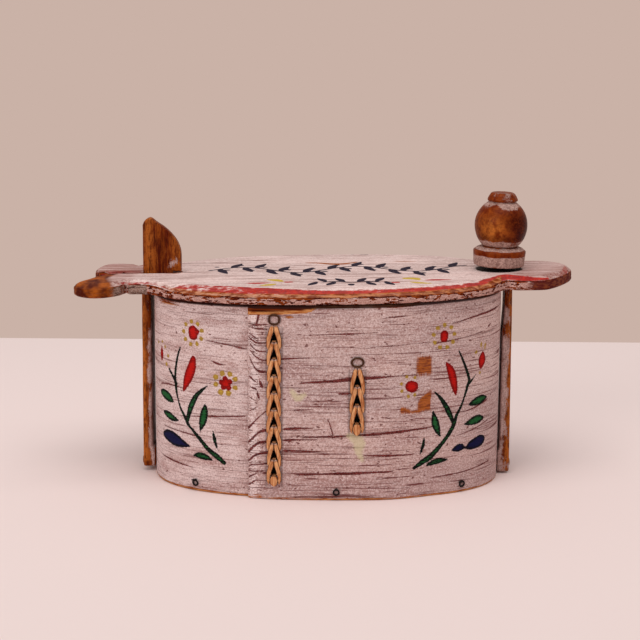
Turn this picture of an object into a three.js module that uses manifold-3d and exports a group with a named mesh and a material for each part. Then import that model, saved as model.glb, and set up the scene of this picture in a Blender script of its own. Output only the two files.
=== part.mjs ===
// Painted bentwood box: an oval side band sewn with split root, a base board
// nailed inside it, two wooden posts pegged to its ends, and a lid that turns on
// the neck of the right post and is caught by the hooked head of the left one.
// Millimetres, +Z up, front towards -Y, origin on the ground under the middle.

import * as THREE from 'three';
import { mergeVertices } from 'three/addons/utils/BufferGeometryUtils.js';
import Module from 'manifold-3d';

const wasm = await Module();
wasm.setup();

// Fits and cuts
const fitGap = 0.3;
const overrun = 5;

// Side band: one strip bent to an oval, its outer end lapped over the front
const bandLength = 198;
const bandDepth = 119;
const bandHeight = 109.5;
const bandWall = 3;
const ovalPower = 2.5;
const rimRise = 1.7;
const lapEndX = -43;
const hiddenEndX = 28;
const lapSettle = 34;
const lapBevel = 4.6;
const lapEdge = 1.1;
const bandSteps = 116;

// Base board
const boardThickness = 11;
const boardSteps = 96;

// Lid, with a wide bevel round its oval middle that narrows towards both ends
const lidEndOverhang = 5;
const lidSideOverhang = 4.2;
const lidPower = 2.4;
const lidThickness = 8;
const lidBevelRun = 8;
const lidBevelDrop = 3.4;
const lidUnderRun = 1.1;
const lidUnderRise = 1;
const endBevelShare = 0.4;
const slotBevelShare = 0.07;
const bevelFade = 14;
const edgeSteps = 26;

// Forked left end of the lid, its lengths along X taken from the band's end
const frontProngReach = 43.8;
const backProngReach = 36.8;
const prongRootInset = 2;
const frontProngHalf = 39.5;
const backProngHalf = 35;
const frontNeckHalf = 27;
const backNeckHalf = 31;
const neckJoin = 8;
const nickDepth = 3.4;
const slotWidth = 7;
const slotInset = 12.6;
const frontLobeShares = [
  [0.63, 0], [0.79, 0.16], [0.9, 0.36], [0.97, 0.51], [1, 0.65], [0.96, 0.81],
  [0.87, 0.93], [0.75, 1], [0.6, 0.98], [0.47, 0.83], [0.4, 0.72],
];
const backLobeShares = [
  [0.89, 0], [0.96, 0.16], [1, 0.46], [0.985, 0.7],
  [0.9, 0.91], [0.74, 1], [0.58, 0.97], [0.46, 0.9],
];
const nickShare = 0.355;
const ridgeShare = 0.31;

// Tongue at the right end of the lid
const tongueReach = 40.2;
const tongueRootReach = 2;
const tongueWidth = 53;
const tongueNick = 2.6;
const tongueShares = [
  [0.03, -0.93], [0.16, -1], [0.4, -1], [0.56, -0.95], [0.7, -0.72],
  [0.82, -0.44], [0.92, -0.14], [0.985, 0.14], [1, 0.36], [0.965, 0.6],
  [0.88, 0.82], [0.74, 1], [0.5, 1.11], [0.2, 1.09], [0.03, 0.97],
];

// Posts
const postWidth = 16;
const leftStandoff = 2.3;
const leftTopThickness = 4.8;
const leftFootThickness = 5.2;
const leftFootLift = 2.9;
const rightStandoff = 1.3;
const rightTopThickness = 5;
const rightFootThickness = 5.9;
const rightFootLift = 1.2;
const heelHeight = 13;
const headRoot = 12;

// Hooked head of the left post
const finThickness = 6.2;
const finLength = 21.8;
const finHeight = 30.5;
const finSet = 0.4;
const hookGap = 0.9;
const slotPlay = 0.4;
const finShares = [
  [1, 0.28], [0.984, 0.404], [0.906, 0.55], [0.784, 0.676], [0.594, 0.808], [0.346, 0.929],
];
const finPeakShares = [[0.2, 1], [0.06, 0.95], [0, 0.865]];

// Neck and tenon of the right post
const neckInset = 1;
const neckRadius = 7.2;
const neckPlay = 0.7;
const tenonRadius = 4;
const tenonLength = 24;

// Turned knob
const knobGap = 2.3;
const knobLean = THREE.MathUtils.degToRad(2.7);
const discRadius = 15;
const discHeight = 8.8;
const discTaper = 0.6;
const discRound = 0.5;
const shoulderRadius = 13;
const shoulderRise = 1.3;
const grooveRadius = 9.6;
const grooveRise = 2.2;
const ballRadius = 15;
const ballLift = 2.8;
const ballHeight = 24.9;
const ballFootRadius = 10.4;
const ballTopRadius = 7.6;
const capRadius = 8.8;
const capTopRadius = 6.2;
const capHeight = 5.1;
const capRim = 0.9;
const roundSteps = 32;

// Wooden pegs at the feet
const pegRadius = 2.4;
const pegHeight = 6.2;
const pegSpread = 9;
const pegDepth = 15;
const pegProud = 0.5;

// Iron nails round the foot of the band
const nailRadius = 0.7;
const nailHeight = 6.4;
const nailDepth = 13;
const nailProud = 1.5;
const nailEyeRadius = 1.5;
const nailWire = 0.5;
const nailSides = 6;
const nailSteps = 14;
const leftNailInset = 26;
const middleNailX = 5.4;
const rightNailInset = 23.4;

// Root lacings: chains of loops, each drawn through a slit
const rootWidth = 9;
const rootThickness = 1.5;
const rootStrand = 2.6;
const rootTilt = 0.7;
const rootWeb = 0.9;
const slitWidth = 3.4;
const slitHeight = 4.4;
const stitchWidth = 3.6;
const loopHeight = 4.4;
const spreadShare = 0.85;
const tailShare = 1.35;
const longLacing = { x: -28.5, drop: 10.7, foot: 13.9, loops: 10, tab: 6.4 };
const shortLacing = { x: 16.3, drop: 33.9, foot: 44, loops: 4, tab: 7 };

// Derived sizes
const bandOval = { halfX: bandLength / 2, halfY: bandDepth / 2, power: ovalPower };
const lidOval = {
  halfX: bandOval.halfX + lidEndOverhang,
  halfY: bandOval.halfY + lidSideOverhang,
  power: lidPower,
};
const slotEndX = slotInset - bandOval.halfX;
const neckX = bandOval.halfX - neckInset;
const slope = rimRise / bandOval.halfX;
const lidTilt = Math.atan(slope);
const layer = bandWall + fitGap;
const rimAt = (x) => bandHeight + slope * x;
const lidMatrix = new THREE.Matrix4()
  .makeTranslation(0, 0, bandHeight + fitGap)
  .multiply(new THREE.Matrix4().makeRotationY(-lidTilt));

// Curves

function signedPower(value, power) {
  return Math.sign(value) * Math.abs(value) ** power;
}

// A point of an oval, pushed out along its normal
function ovalPoint(oval, turn, outward) {
  const x = oval.halfX * signedPower(Math.cos(turn), 2 / oval.power);
  const y = oval.halfY * signedPower(Math.sin(turn), 2 / oval.power);
  const normal = new THREE.Vector2(
    signedPower(x / oval.halfX, oval.power - 1) / oval.halfX,
    signedPower(y / oval.halfY, oval.power - 1) / oval.halfY,
  ).normalize();
  return new THREE.Vector2(x, y).addScaledVector(normal, outward);
}

// The turn at which the front of an oval passes x
function frontTurn(oval, x) {
  return -Math.acos(signedPower(x / oval.halfX, oval.power / 2));
}

// The turn at which the right-hand half of an oval reaches y
function sideTurn(oval, y) {
  return Math.asin(signedPower(y / oval.halfY, oval.power / 2));
}

// Solids

function solid(geometry) {
  const bare = geometry.clone();
  bare.deleteAttribute('normal');
  bare.deleteAttribute('uv');
  const merged = mergeVertices(bare);
  return new wasm.Manifold(new wasm.Mesh({
    numProp: 3,
    vertProperties: new Float32Array(merged.attributes.position.array),
    triVerts: new Uint32Array(merged.index.array),
  }));
}

function surface(body) {
  const mesh = body.getMesh();
  const geometry = new THREE.BufferGeometry();
  geometry.setAttribute('position', new THREE.BufferAttribute(mesh.vertProperties, 3));
  geometry.setIndex(new THREE.BufferAttribute(mesh.triVerts, 1));
  return geometry.toNonIndexed();
}

function plate(points, depth) {
  return new THREE.ExtrudeGeometry(new THREE.Shape(points), { depth, bevelEnabled: false });
}

// A plate drawn in X and Z, centred on Y
function uprightPlate(points, depth) {
  return plate(points, depth).translate(0, 0, -depth / 2).rotateX(Math.PI / 2);
}

function block(from, to) {
  const size = new THREE.Vector3().subVectors(to, from);
  const middle = new THREE.Vector3().addVectors(from, to).multiplyScalar(1 / 2);
  return new THREE.BoxGeometry(size.x, size.y, size.z).translate(middle.x, middle.y, middle.z);
}

// A rod along Z from one height to another
function rod(radius, low, high, sides = roundSteps) {
  return new THREE.CylinderGeometry(radius, radius, high - low, sides)
    .rotateX(Math.PI / 2)
    .translate(0, 0, (low + high) / 2);
}

// A closed wall of rings, each drawn in by its inset, with a flat cap at both ends
function ringStack(outline, rings) {
  const count = outline.length;
  const positions = [];
  for (const ring of rings) {
    outline.forEach((entry, i) => {
      const before = outline[(i + count - 1) % count].point;
      const after = outline[(i + 1) % count].point;
      const along = new THREE.Vector2().subVectors(after, before).normalize();
      const inset = ring.inset * entry.ease;
      positions.push(entry.point.x - along.y * inset, entry.point.y + along.x * inset, ring.z);
    });
  }
  const indices = [];
  for (let r = 0; r + 1 < rings.length; r += 1) {
    for (let i = 0; i < count; i += 1) {
      const a = r * count + i;
      const b = r * count + ((i + 1) % count);
      indices.push(a, b, b + count, a, b + count, a + count);
    }
  }
  const capAt = (r) => outline.map((entry, i) => new THREE.Vector2(
    positions[3 * (r * count + i)],
    positions[3 * (r * count + i) + 1],
  ));
  for (const [a, b, c] of THREE.ShapeUtils.triangulateShape(capAt(0), [])) {
    indices.push(c, b, a);
  }
  const last = rings.length - 1;
  for (const [a, b, c] of THREE.ShapeUtils.triangulateShape(capAt(last), [])) {
    indices.push(last * count + a, last * count + b, last * count + c);
  }
  const geometry = new THREE.BufferGeometry();
  geometry.setAttribute('position', new THREE.Float32BufferAttribute(positions, 3));
  geometry.setIndex(indices);
  return geometry;
}

// Where something sits on the front of the band: its point and heading
function wallSeat(x, outward) {
  const turn = frontTurn(bandOval, x);
  const seat = ovalPoint(bandOval, turn, outward);
  const skin = ovalPoint(bandOval, turn, outward + bandWall).sub(seat);
  const heading = Math.atan2(skin.x, -skin.y);
  return new THREE.Matrix4()
    .makeTranslation(seat.x, seat.y, 0)
    .multiply(new THREE.Matrix4().makeRotationZ(heading));
}

// The same on the back, which is the front turned half round
function backSeat(x) {
  return wallSeat(-x, 0).premultiply(new THREE.Matrix4().makeRotationZ(Math.PI));
}

// Side band

const lapTurn = frontTurn(bandOval, lapEndX);
const hiddenTurn = frontTurn(bandOval, hiddenEndX);
const settleTurn = frontTurn(bandOval, hiddenEndX + lapSettle);

// How far the strip's outer face stands off the oval, along its whole length
function stripLift(turn) {
  const settled = THREE.MathUtils.smoothstep(turn, hiddenTurn, settleTurn);
  return layer * (1 - settled);
}

function bandOutline() {
  const outer = [];
  const inner = [];
  const bevelTurn = frontTurn(bandOval, lapEndX + lapBevel);
  const endTurn = hiddenTurn + 2 * Math.PI;
  const turns = [lapTurn];
  for (let i = 0; i <= bandSteps; i += 1) {
    turns.push(THREE.MathUtils.lerp(bevelTurn, endTurn, i / bandSteps));
  }
  for (const turn of turns) {
    const lift = stripLift(turn);
    const skin = turn < bevelTurn ? lapEdge : bandWall;
    inner.push(ovalPoint(bandOval, turn, lift - bandWall));
    outer.push(ovalPoint(bandOval, turn, lift - bandWall + skin));
  }
  return [...outer, ...inner.reverse()];
}

function slitOutline() {
  const half = slitWidth / 2;
  const low = -rootWeb / 2 - fitGap;
  return [
    new THREE.Vector2(-half, low),
    new THREE.Vector2(half, low),
    new THREE.Vector2(half, -low),
    new THREE.Vector2(fitGap, slitHeight + low),
    new THREE.Vector2(-fitGap, slitHeight + low),
    new THREE.Vector2(-half, -low),
  ];
}

function slitHeights(lacing) {
  const top = bandHeight - lacing.drop;
  const pitch = (top - lacing.foot) / (lacing.loops - 1);
  return Array.from({ length: lacing.loops }, (_, i) => top - pitch * i);
}

const nailPlaces = [
  { name: 'left', x: leftNailInset - bandOval.halfX },
  { name: 'middle', x: middleNailX },
  { name: 'right', x: bandOval.halfX - rightNailInset },
];

const nailSeats = nailPlaces.flatMap(({ name, x }) => {
  const lift = x > lapEndX ? stripLift(frontTurn(bandOval, x)) : 0;
  return [
    { name: `nail_front_${name}`, seat: wallSeat(x, lift) },
    { name: `nail_back_${name}`, seat: backSeat(x) },
  ];
});

function pegRod(side, radius, from, to) {
  return new THREE.CylinderGeometry(radius, radius, to - from, roundSteps / 2)
    .rotateZ(Math.PI / 2)
    .translate(side * (from + to) / 2, 0, pegHeight);
}

const pegEnds = {
  inner: bandOval.halfX - pegDepth,
  left: bandOval.halfX + leftStandoff + leftFootThickness,
  right: bandOval.halfX + rightStandoff + rightFootThickness,
};

function pegHoles(body) {
  let bored = body;
  for (const side of [-1, 1]) {
    const end = side < 0 ? pegEnds.left : pegEnds.right;
    for (const row of [-1, 1]) {
      const hole = pegRod(side, pegRadius + fitGap, pegEnds.inner - fitGap, end + overrun);
      bored = bored.subtract(solid(hole.translate(0, row * pegSpread / 2, 0)));
    }
  }
  return bored;
}

function nailHoles(body) {
  let bored = body;
  for (const { seat } of nailSeats) {
    const radius = nailRadius + fitGap;
    const hole = rod(radius, -nailDepth - fitGap, overrun, nailSteps).rotateX(Math.PI / 2);
    bored = bored.subtract(solid(hole.translate(0, 0, nailHeight).applyMatrix4(seat)));
  }
  return bored;
}

function sideBand() {
  const strip = plate(bandOutline(), bandHeight);
  const position = strip.attributes.position;
  for (let i = 0; i < position.count; i += 1) {
    if (position.getZ(i) > bandHeight / 2) {
      position.setZ(i, rimAt(position.getX(i)));
    }
  }
  let band = solid(strip);
  for (const lacing of [longLacing, shortLacing]) {
    for (const z of slitHeights(lacing)) {
      const slit = uprightPlate(slitOutline(), 2 * (layer + bandWall + overrun));
      band = band.subtract(solid(slit.translate(0, 0, z).applyMatrix4(wallSeat(lacing.x, layer))));
    }
  }
  return surface(nailHoles(pegHoles(band)));
}

// Base board

// It fills the oval and steps out where the strip's hidden end leaves room
function baseBoard() {
  const stepTurn = frontTurn(bandOval, hiddenEndX + fitGap);
  const lastTurn = hiddenTurn + 2 * Math.PI;
  const outline = [];
  for (let i = 0; i <= boardSteps; i += 1) {
    const turn = THREE.MathUtils.lerp(stepTurn, lastTurn, i / boardSteps);
    outline.push(ovalPoint(bandOval, turn, stripLift(turn) - bandWall - fitGap));
  }
  return surface(nailHoles(pegHoles(solid(plate(outline, boardThickness)))));
}

// Lid

// Half of the fork on the front, from the slot's mouth to the oval
function prongOutline(lobeShares, reach, half, neckHalf) {
  const slotHalf = slotWidth / 2;
  const along = (share) => -bandOval.halfX - THREE.MathUtils.lerp(-prongRootInset, reach, share);
  const lobe = new THREE.SplineCurve(lobeShares.map(([run, across]) => new THREE.Vector2(
    along(run),
    -THREE.MathUtils.lerp(slotHalf, half, across),
  )));
  const meet = -lidOval.halfX * (1 - (neckHalf / lidOval.halfY) ** lidPower) ** (1 / lidPower);
  const onOval = ovalPoint(lidOval, frontTurn(lidOval, meet + neckJoin), 0);
  const join = new THREE.QuadraticBezierCurve(
    new THREE.Vector2(meet - neckJoin, -neckHalf),
    new THREE.Vector2(meet, -neckHalf),
    onOval,
  );
  const points = [
    ...lobe.getPoints(edgeSteps),
    new THREE.Vector2(along(nickShare), nickDepth - neckHalf),
    new THREE.Vector2(along(ridgeShare), -neckHalf),
    ...join.getPoints(edgeSteps / 4),
  ];
  return { points, ovalX: meet + neckJoin };
}

function mirrored(points) {
  return points.map((point) => new THREE.Vector2(point.x, -point.y)).reverse();
}

function ovalRun(fromTurn, toTurn) {
  const run = [];
  for (let i = 1; i < edgeSteps; i += 1) {
    run.push(ovalPoint(lidOval, THREE.MathUtils.lerp(fromTurn, toTurn, i / edgeSteps), 0));
  }
  return run;
}

function lidOutline() {
  const front = prongOutline(frontLobeShares, frontProngReach, frontProngHalf, frontNeckHalf);
  const back = prongOutline(backLobeShares, backProngReach, backProngHalf, backNeckHalf);
  const tongueHalf = tongueWidth / 2;
  const shoulderTurn = -sideTurn(lidOval, tongueHalf);
  const shoulder = ovalPoint(lidOval, shoulderTurn, 0);
  const nick = new THREE.Vector2(bandOval.halfX + tongueRootReach, tongueNick - tongueHalf);
  const tongue = new THREE.SplineCurve(tongueShares.map(([run, across]) => new THREE.Vector2(
    bandOval.halfX + THREE.MathUtils.lerp(tongueRootReach, tongueReach, run),
    tongueHalf * across,
  ))).getPoints(edgeSteps * 2);
  const tongueRoot = [shoulder, nick];
  const outside = [
    ...front.points,
    ...ovalRun(frontTurn(lidOval, front.ovalX), shoulderTurn),
    ...tongueRoot,
    ...tongue,
    ...mirrored(tongueRoot),
    ...mirrored(ovalRun(frontTurn(lidOval, back.ovalX), shoulderTurn)),
    ...mirrored(back.points),
  ];
  const slotHalf = slotWidth / 2;
  const slotEnd = new THREE.EllipseCurve(
    slotEndX - slotHalf, 0, slotHalf, slotHalf, Math.PI / 2, -Math.PI / 2, true,
  ).getPoints(edgeSteps / 2);
  return [...outside, ...slotEnd].map((point) => ({ point, ease: bevelEase(point) }));
}

// The bevel's width as a share of its full width
function bevelEase(point) {
  const nearEnd = THREE.MathUtils.smoothstep(
    Math.abs(point.x), bandOval.halfX - bevelFade, bandOval.halfX,
  );
  const ease = THREE.MathUtils.lerp(1, endBevelShare, nearEnd);
  const offSlot = point.x < slotEndX ? Math.abs(point.y) - slotWidth / 2 : bevelFade;
  const open = THREE.MathUtils.clamp(offSlot / bevelFade, 0, 1);
  return THREE.MathUtils.lerp(slotBevelShare, ease, open);
}

function lid() {
  const board = ringStack(lidOutline(), [
    { z: 0, inset: lidUnderRun },
    { z: lidUnderRise, inset: 0 },
    { z: lidThickness - lidBevelDrop, inset: 0 },
    { z: lidThickness, inset: lidBevelRun },
  ]);
  const hole = rod(neckRadius + neckPlay, -overrun, lidThickness + overrun);
  return surface(solid(board).subtract(solid(hole.translate(neckX, 0, 0))));
}

// Posts

// A springy leg with a heel that bears on the band, drawn outwards along X
function legOutline(standoff, topThickness, footThickness, footLift, top) {
  const face = bandOval.halfX;
  const inner = face + standoff;
  return [
    new THREE.Vector2(face + fitGap, footLift),
    new THREE.Vector2(inner + footThickness, footLift),
    new THREE.Vector2(inner + topThickness, top),
    new THREE.Vector2(inner, top),
    new THREE.Vector2(inner, heelHeight + standoff),
    new THREE.Vector2(face + fitGap, heelHeight),
  ];
}

function leftPost() {
  const inner = bandOval.halfX + leftStandoff;
  const outerEdge = inner + leftTopThickness - finSet;
  const legTop = rimAt(-outerEdge) - fitGap;
  const leg = legOutline(
    leftStandoff, leftTopThickness, leftFootThickness, leftFootLift, legTop,
  );
  const neckLow = rimAt(slotEndX) + fitGap;
  const slotHalf = slotWidth / 2;
  const slotRound = slotHalf - Math.sqrt(slotHalf ** 2 - (finThickness / 2) ** 2);
  const neckInner = slotPlay + slotRound - slotEndX;
  const hookLow = neckLow + lidThickness + hookGap;
  const finPoint = ([run, rise]) => new THREE.Vector2(
    outerEdge - finLength * run,
    hookLow + finHeight * rise,
  );
  const back = new THREE.SplineCurve(finShares.map(finPoint)).getPoints(edgeSteps / 2);
  const head = [
    new THREE.Vector2(outerEdge, legTop - headRoot),
    new THREE.Vector2(inner, legTop - headRoot),
    new THREE.Vector2(inner, neckLow),
    new THREE.Vector2(neckInner, neckLow),
    new THREE.Vector2(neckInner, hookLow),
    new THREE.Vector2(outerEdge - finLength, hookLow),
    ...back,
    ...finPeakShares.map(finPoint),
  ];
  const flip = new THREE.Matrix4().makeRotationZ(Math.PI);
  const post = solid(uprightPlate(leg, postWidth).applyMatrix4(flip))
    .add(solid(uprightPlate(head.reverse(), finThickness).applyMatrix4(flip)));
  return surface(pegHoles(post));
}

function rightPost() {
  const inner = bandOval.halfX + rightStandoff;
  const legTop = rimAt(inner) - fitGap;
  const leg = legOutline(
    rightStandoff, rightTopThickness, rightFootThickness, rightFootLift, legTop,
  );
  const shoulder = lidThickness + knobGap - fitGap - neckRadius * Math.sin(knobLean);
  const neck = rod(neckRadius, -headRoot, shoulder).translate(neckX, 0, 0).applyMatrix4(lidMatrix);
  const overRim = block(
    new THREE.Vector3(0, -postWidth, 0),
    new THREE.Vector3(inner, postWidth, rimAt(inner) + fitGap),
  );
  const tenon = rod(tenonRadius, -fitGap, tenonLength)
    .rotateY(knobLean)
    .translate(neckX, 0, shoulder)
    .applyMatrix4(lidMatrix);
  const post = solid(uprightPlate(leg, postWidth))
    .add(solid(neck).subtract(solid(overRim)))
    .add(solid(tenon));
  return surface(pegHoles(post));
}

function knobBody() {
  const ballLow = discHeight + ballLift;
  const ballTop = ballLow + ballHeight;
  const profile = [
    [0, 0],
    [discRadius - discTaper - discRound, 0],
    [discRadius - discTaper, discRound],
    [discRadius, discHeight - discRound],
    [discRadius - discRound, discHeight],
    [shoulderRadius, discHeight + shoulderRise],
    [grooveRadius, discHeight + grooveRise],
    [ballFootRadius, ballLow],
  ];
  const arcSteps = roundSteps / 2;
  const from = -Math.acos(ballFootRadius / ballRadius);
  const to = Math.acos(ballTopRadius / ballRadius);
  const rise = ballHeight / (Math.sin(to) - Math.sin(from));
  for (let i = 1; i <= arcSteps; i += 1) {
    const turn = THREE.MathUtils.lerp(from, to, i / arcSteps);
    profile.push([ballRadius * Math.cos(turn), ballLow + rise * (Math.sin(turn) - Math.sin(from))]);
  }
  profile.push(
    [capRadius, ballTop + capRim],
    [capTopRadius, ballTop + capHeight],
    [0, ballTop + capHeight],
  );
  const points = profile.map(([radius, height]) => new THREE.Vector2(radius, height));
  const turned = new THREE.LatheGeometry(points, roundSteps).rotateX(Math.PI / 2);
  const bore = rod(tenonRadius + fitGap, -overrun, tenonLength + fitGap);
  return surface(solid(turned).subtract(solid(bore)));
}

// Root lacings, drawn at their seat: X along the wall, -Y out of it

function loopOutline(pitch) {
  const outer = rootWidth / 2;
  const crown = rootStrand - fitGap;
  const tail = -pitch * tailShare;
  const inside = outer - rootStrand;
  return [
    new THREE.Vector2(-crown / 2, 0),
    new THREE.Vector2(-crown, -crown / 2),
    new THREE.Vector2(-outer, -pitch * spreadShare),
    new THREE.Vector2(-outer, tail),
    new THREE.Vector2(-inside, tail),
    new THREE.Vector2(-inside, -pitch),
    new THREE.Vector2(0, -crown),
    new THREE.Vector2(inside, -pitch),
    new THREE.Vector2(inside, tail),
    new THREE.Vector2(outer, tail),
    new THREE.Vector2(outer, -pitch * spreadShare),
    new THREE.Vector2(crown, -crown / 2),
    new THREE.Vector2(crown / 2, 0),
  ];
}

function rootLacing(lacing) {
  const heights = slitHeights(lacing);
  const pitch = heights[0] - heights[1];
  const crownLift = rootTilt * tailShare;
  const face = -fitGap - crownLift - rootThickness / 2;
  const back = layer + bandWall + fitGap;
  const web = (z) => solid(block(
    new THREE.Vector3(fitGap - slitWidth / 2, face, z - rootWeb / 2),
    new THREE.Vector3(slitWidth / 2 - fitGap, back + rootThickness, z + rootWeb / 2),
  ));
  const highest = heights[0] + rootWeb / 2;
  const lowest = heights[heights.length - 1] - rootWeb / 2;
  let chain = solid(block(
    new THREE.Vector3(-stitchWidth / 2, back, lowest),
    new THREE.Vector3(stitchWidth / 2, back + rootThickness, highest),
  ));
  for (const z of heights) {
    chain = chain.add(web(z));
  }
  for (const z of heights.slice(0, -1)) {
    const loop = uprightPlate(loopOutline(pitch), rootThickness)
      .translate(0, -rootThickness / 2, 0)
      .rotateX(rootTilt / pitch)
      .translate(0, -fitGap - crownLift, z + rootWeb / 2);
    chain = chain.add(solid(loop));
  }
  const tabHalf = rootWidth / 2 - rootStrand / 2;
  const tab = new THREE.EllipseCurve(0, 0, tabHalf, lacing.tab, -Math.PI, 0, false);
  const tabPlate = uprightPlate(tab.getPoints(edgeSteps / 2), rootThickness)
    .translate(0, -fitGap - rootThickness / 2, lowest + rootWeb);
  chain = chain.add(solid(tabPlate));
  const topLoop = solid(block(
    new THREE.Vector3(-tabHalf, -fitGap - rootThickness, highest - rootWeb),
    new THREE.Vector3(tabHalf, -fitGap, highest + loopHeight),
  ));
  return surface(chain.add(topLoop)).applyMatrix4(wallSeat(lacing.x, layer));
}

// A nail: a shank driven through the band, its end curled to a ring that lies on it
function baseNail(seat) {
  const shank = rod(nailRadius, -nailDepth, nailProud, nailSteps)
    .rotateX(Math.PI / 2)
    .translate(0, 0, nailHeight);
  const eye = new THREE.TorusGeometry(nailEyeRadius, nailWire, nailSides, nailSteps)
    .rotateX(Math.PI / 2)
    .translate(0, -fitGap - nailWire, nailHeight - nailEyeRadius);
  return surface(solid(shank.applyMatrix4(seat)).add(solid(eye.applyMatrix4(seat))));
}

// A wooden peg, one of two side by side at the foot of a post
function postPeg(side, row) {
  const end = side < 0 ? pegEnds.left : pegEnds.right;
  const peg = pegRod(side, pegRadius, pegEnds.inner, end + pegProud);
  return surface(solid(peg.translate(0, row * pegSpread / 2, 0)));
}

// Finishes

const finish = (color, roughness, metalness = 0) =>
  new THREE.MeshStandardMaterial({ color, roughness, metalness });
const palePaint = finish(0xbfa39b, 0.75);
const lidPaint = finish(0xdcc0b6, 0.7);
const bareWood = finish(0x7a4a26, 0.6);
const wornWood = finish(0x8a4f22, 0.5);
const splitRoot = finish(0xc8915c, 0.6);
const pegWood = finish(0x6b4526, 0.7);
const oldIron = finish(0x2b2523, 0.65, 0.8);

// Assembly

function piece(name, geometry, material) {
  const mesh = new THREE.Mesh(geometry, material);
  mesh.name = name;
  return mesh;
}

const box = new THREE.Group();
box.add(
  piece('side_band', sideBand(), palePaint),
  piece('base_board', baseBoard(), pegWood),
  piece('long_root_lacing', rootLacing(longLacing), splitRoot),
  piece('short_root_lacing', rootLacing(shortLacing), splitRoot),
  ...nailSeats.map(({ name, seat }) => piece(name, baseNail(seat), oldIron)),
  piece('left_post', leftPost(), bareWood),
  piece('left_peg_front', postPeg(-1, -1), pegWood),
  piece('left_peg_back', postPeg(-1, 1), pegWood),
  piece('right_post', rightPost(), bareWood),
  piece('right_peg_front', postPeg(1, -1), pegWood),
  piece('right_peg_back', postPeg(1, 1), pegWood),
);

const lidFrame = new THREE.Group();
lidFrame.position.setZ(bandHeight + fitGap);
lidFrame.rotation.y = -lidTilt;
const knobSeat = new THREE.Group();
knobSeat.position.set(neckX, 0, lidThickness + knobGap);
knobSeat.rotation.y = knobLean;
knobSeat.add(piece('knob', knobBody(), wornWood));
lidFrame.add(piece('lid', lid(), lidPaint), knobSeat);
box.add(lidFrame);

export default box;
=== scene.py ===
# Painted bentwood box with a root-sewn side, two posts and a swinging lid.
# Shapes are drawn in millimetres, +Z up, front towards -Y.

import math

import bpy
import numpy as np
from mathutils import Matrix, Quaternion, Vector, geometry, noise


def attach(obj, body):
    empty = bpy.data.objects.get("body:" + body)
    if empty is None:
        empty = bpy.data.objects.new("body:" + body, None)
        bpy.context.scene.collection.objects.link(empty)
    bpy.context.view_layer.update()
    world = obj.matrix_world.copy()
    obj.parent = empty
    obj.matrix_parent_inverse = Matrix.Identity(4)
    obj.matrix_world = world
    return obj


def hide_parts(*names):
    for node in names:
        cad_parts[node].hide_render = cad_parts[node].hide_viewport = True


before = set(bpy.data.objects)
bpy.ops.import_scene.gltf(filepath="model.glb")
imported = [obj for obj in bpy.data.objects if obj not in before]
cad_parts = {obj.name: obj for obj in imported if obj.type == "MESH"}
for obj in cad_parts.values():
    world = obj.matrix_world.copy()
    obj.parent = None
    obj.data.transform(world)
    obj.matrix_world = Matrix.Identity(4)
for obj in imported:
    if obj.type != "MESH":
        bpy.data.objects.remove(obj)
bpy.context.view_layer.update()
scene = bpy.context.scene

MM = 0.001


def placed(name, data):
    thing = bpy.data.objects.new(name, data)
    scene.collection.objects.link(thing)
    return thing


# Sizes, as in the solids, apart from BEVEL_DROP, which is 0.5 more here
BAND = (99.0, 59.5, 2.5)
BAND_HEIGHT = 109.5
BAND_WALL = 3.0
SLOPE = 1.7 / 99
FIT = 0.3
LAYER = BAND_WALL + FIT
LAP_END = -43.0
HIDDEN_END = 28.0
LAP_SETTLE = 34.0
LAP_BEVEL = 4.6
LAP_EDGE = 1.1
LID = (104.0, 63.7, 2.4)
LID_THICKNESS = 8.0
BEVEL_RUN = 8.0
BEVEL_DROP = 3.9
TONGUE_HALF = 26.5
SLOT_HALF = 3.5
SLOT_END = -86.4
NECK_X = 98.0
NECK_RADIUS = 7.2
NECK_HOLE = 7.9
KNOB_BASE = 10.3
KNOB_LEAN = math.radians(2.7)
BALL_RADIUS = 15
BALL_HEIGHT = 24.9
BALL_FOOT = 10.4
BALL_TOP = 7.6
BOARD_HEIGHT = 11
LONG_LACING = (-28.5, 98.8, 13.9, 10, 6.4)
SHORT_LACING = (16.3, 75.6, 44.0, 4, 7.0)

# Camera, at the photograph's viewing angle
PICTURE = 640
FOCAL = 1724.0
EYE_DISTANCE = 1001.6
EYE_HEIGHT = math.radians(13.5)
EYE_ROLL = math.radians(0.42)
MIDDLE_AT = (327.1, 377.4)


def add_camera():
    camera = placed("camera", bpy.data.cameras.new("camera"))
    camera.data.sensor_width = 36
    camera.data.lens = 36 * FOCAL / PICTURE
    camera.data.clip_start = 0.05
    away = Vector((0, -math.cos(EYE_HEIGHT), math.sin(EYE_HEIGHT)))
    seen = Vector((MIDDLE_AT[0] - PICTURE / 2, PICTURE / 2 - MIDDLE_AT[1], -FOCAL))
    facing = (-away).to_track_quat("-Z", "Y")
    roll = Quaternion((0, 0, 1), EYE_ROLL)
    aim = seen.rotation_difference(Vector((0, 0, -1)))
    camera.rotation_mode = "QUATERNION"
    camera.rotation_quaternion = facing @ roll @ aim
    camera.location = (Vector((0, 0, BAND_HEIGHT / 2)) + away * EYE_DISTANCE) * MM
    scene.camera = camera


add_camera()


# Shader values

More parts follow.
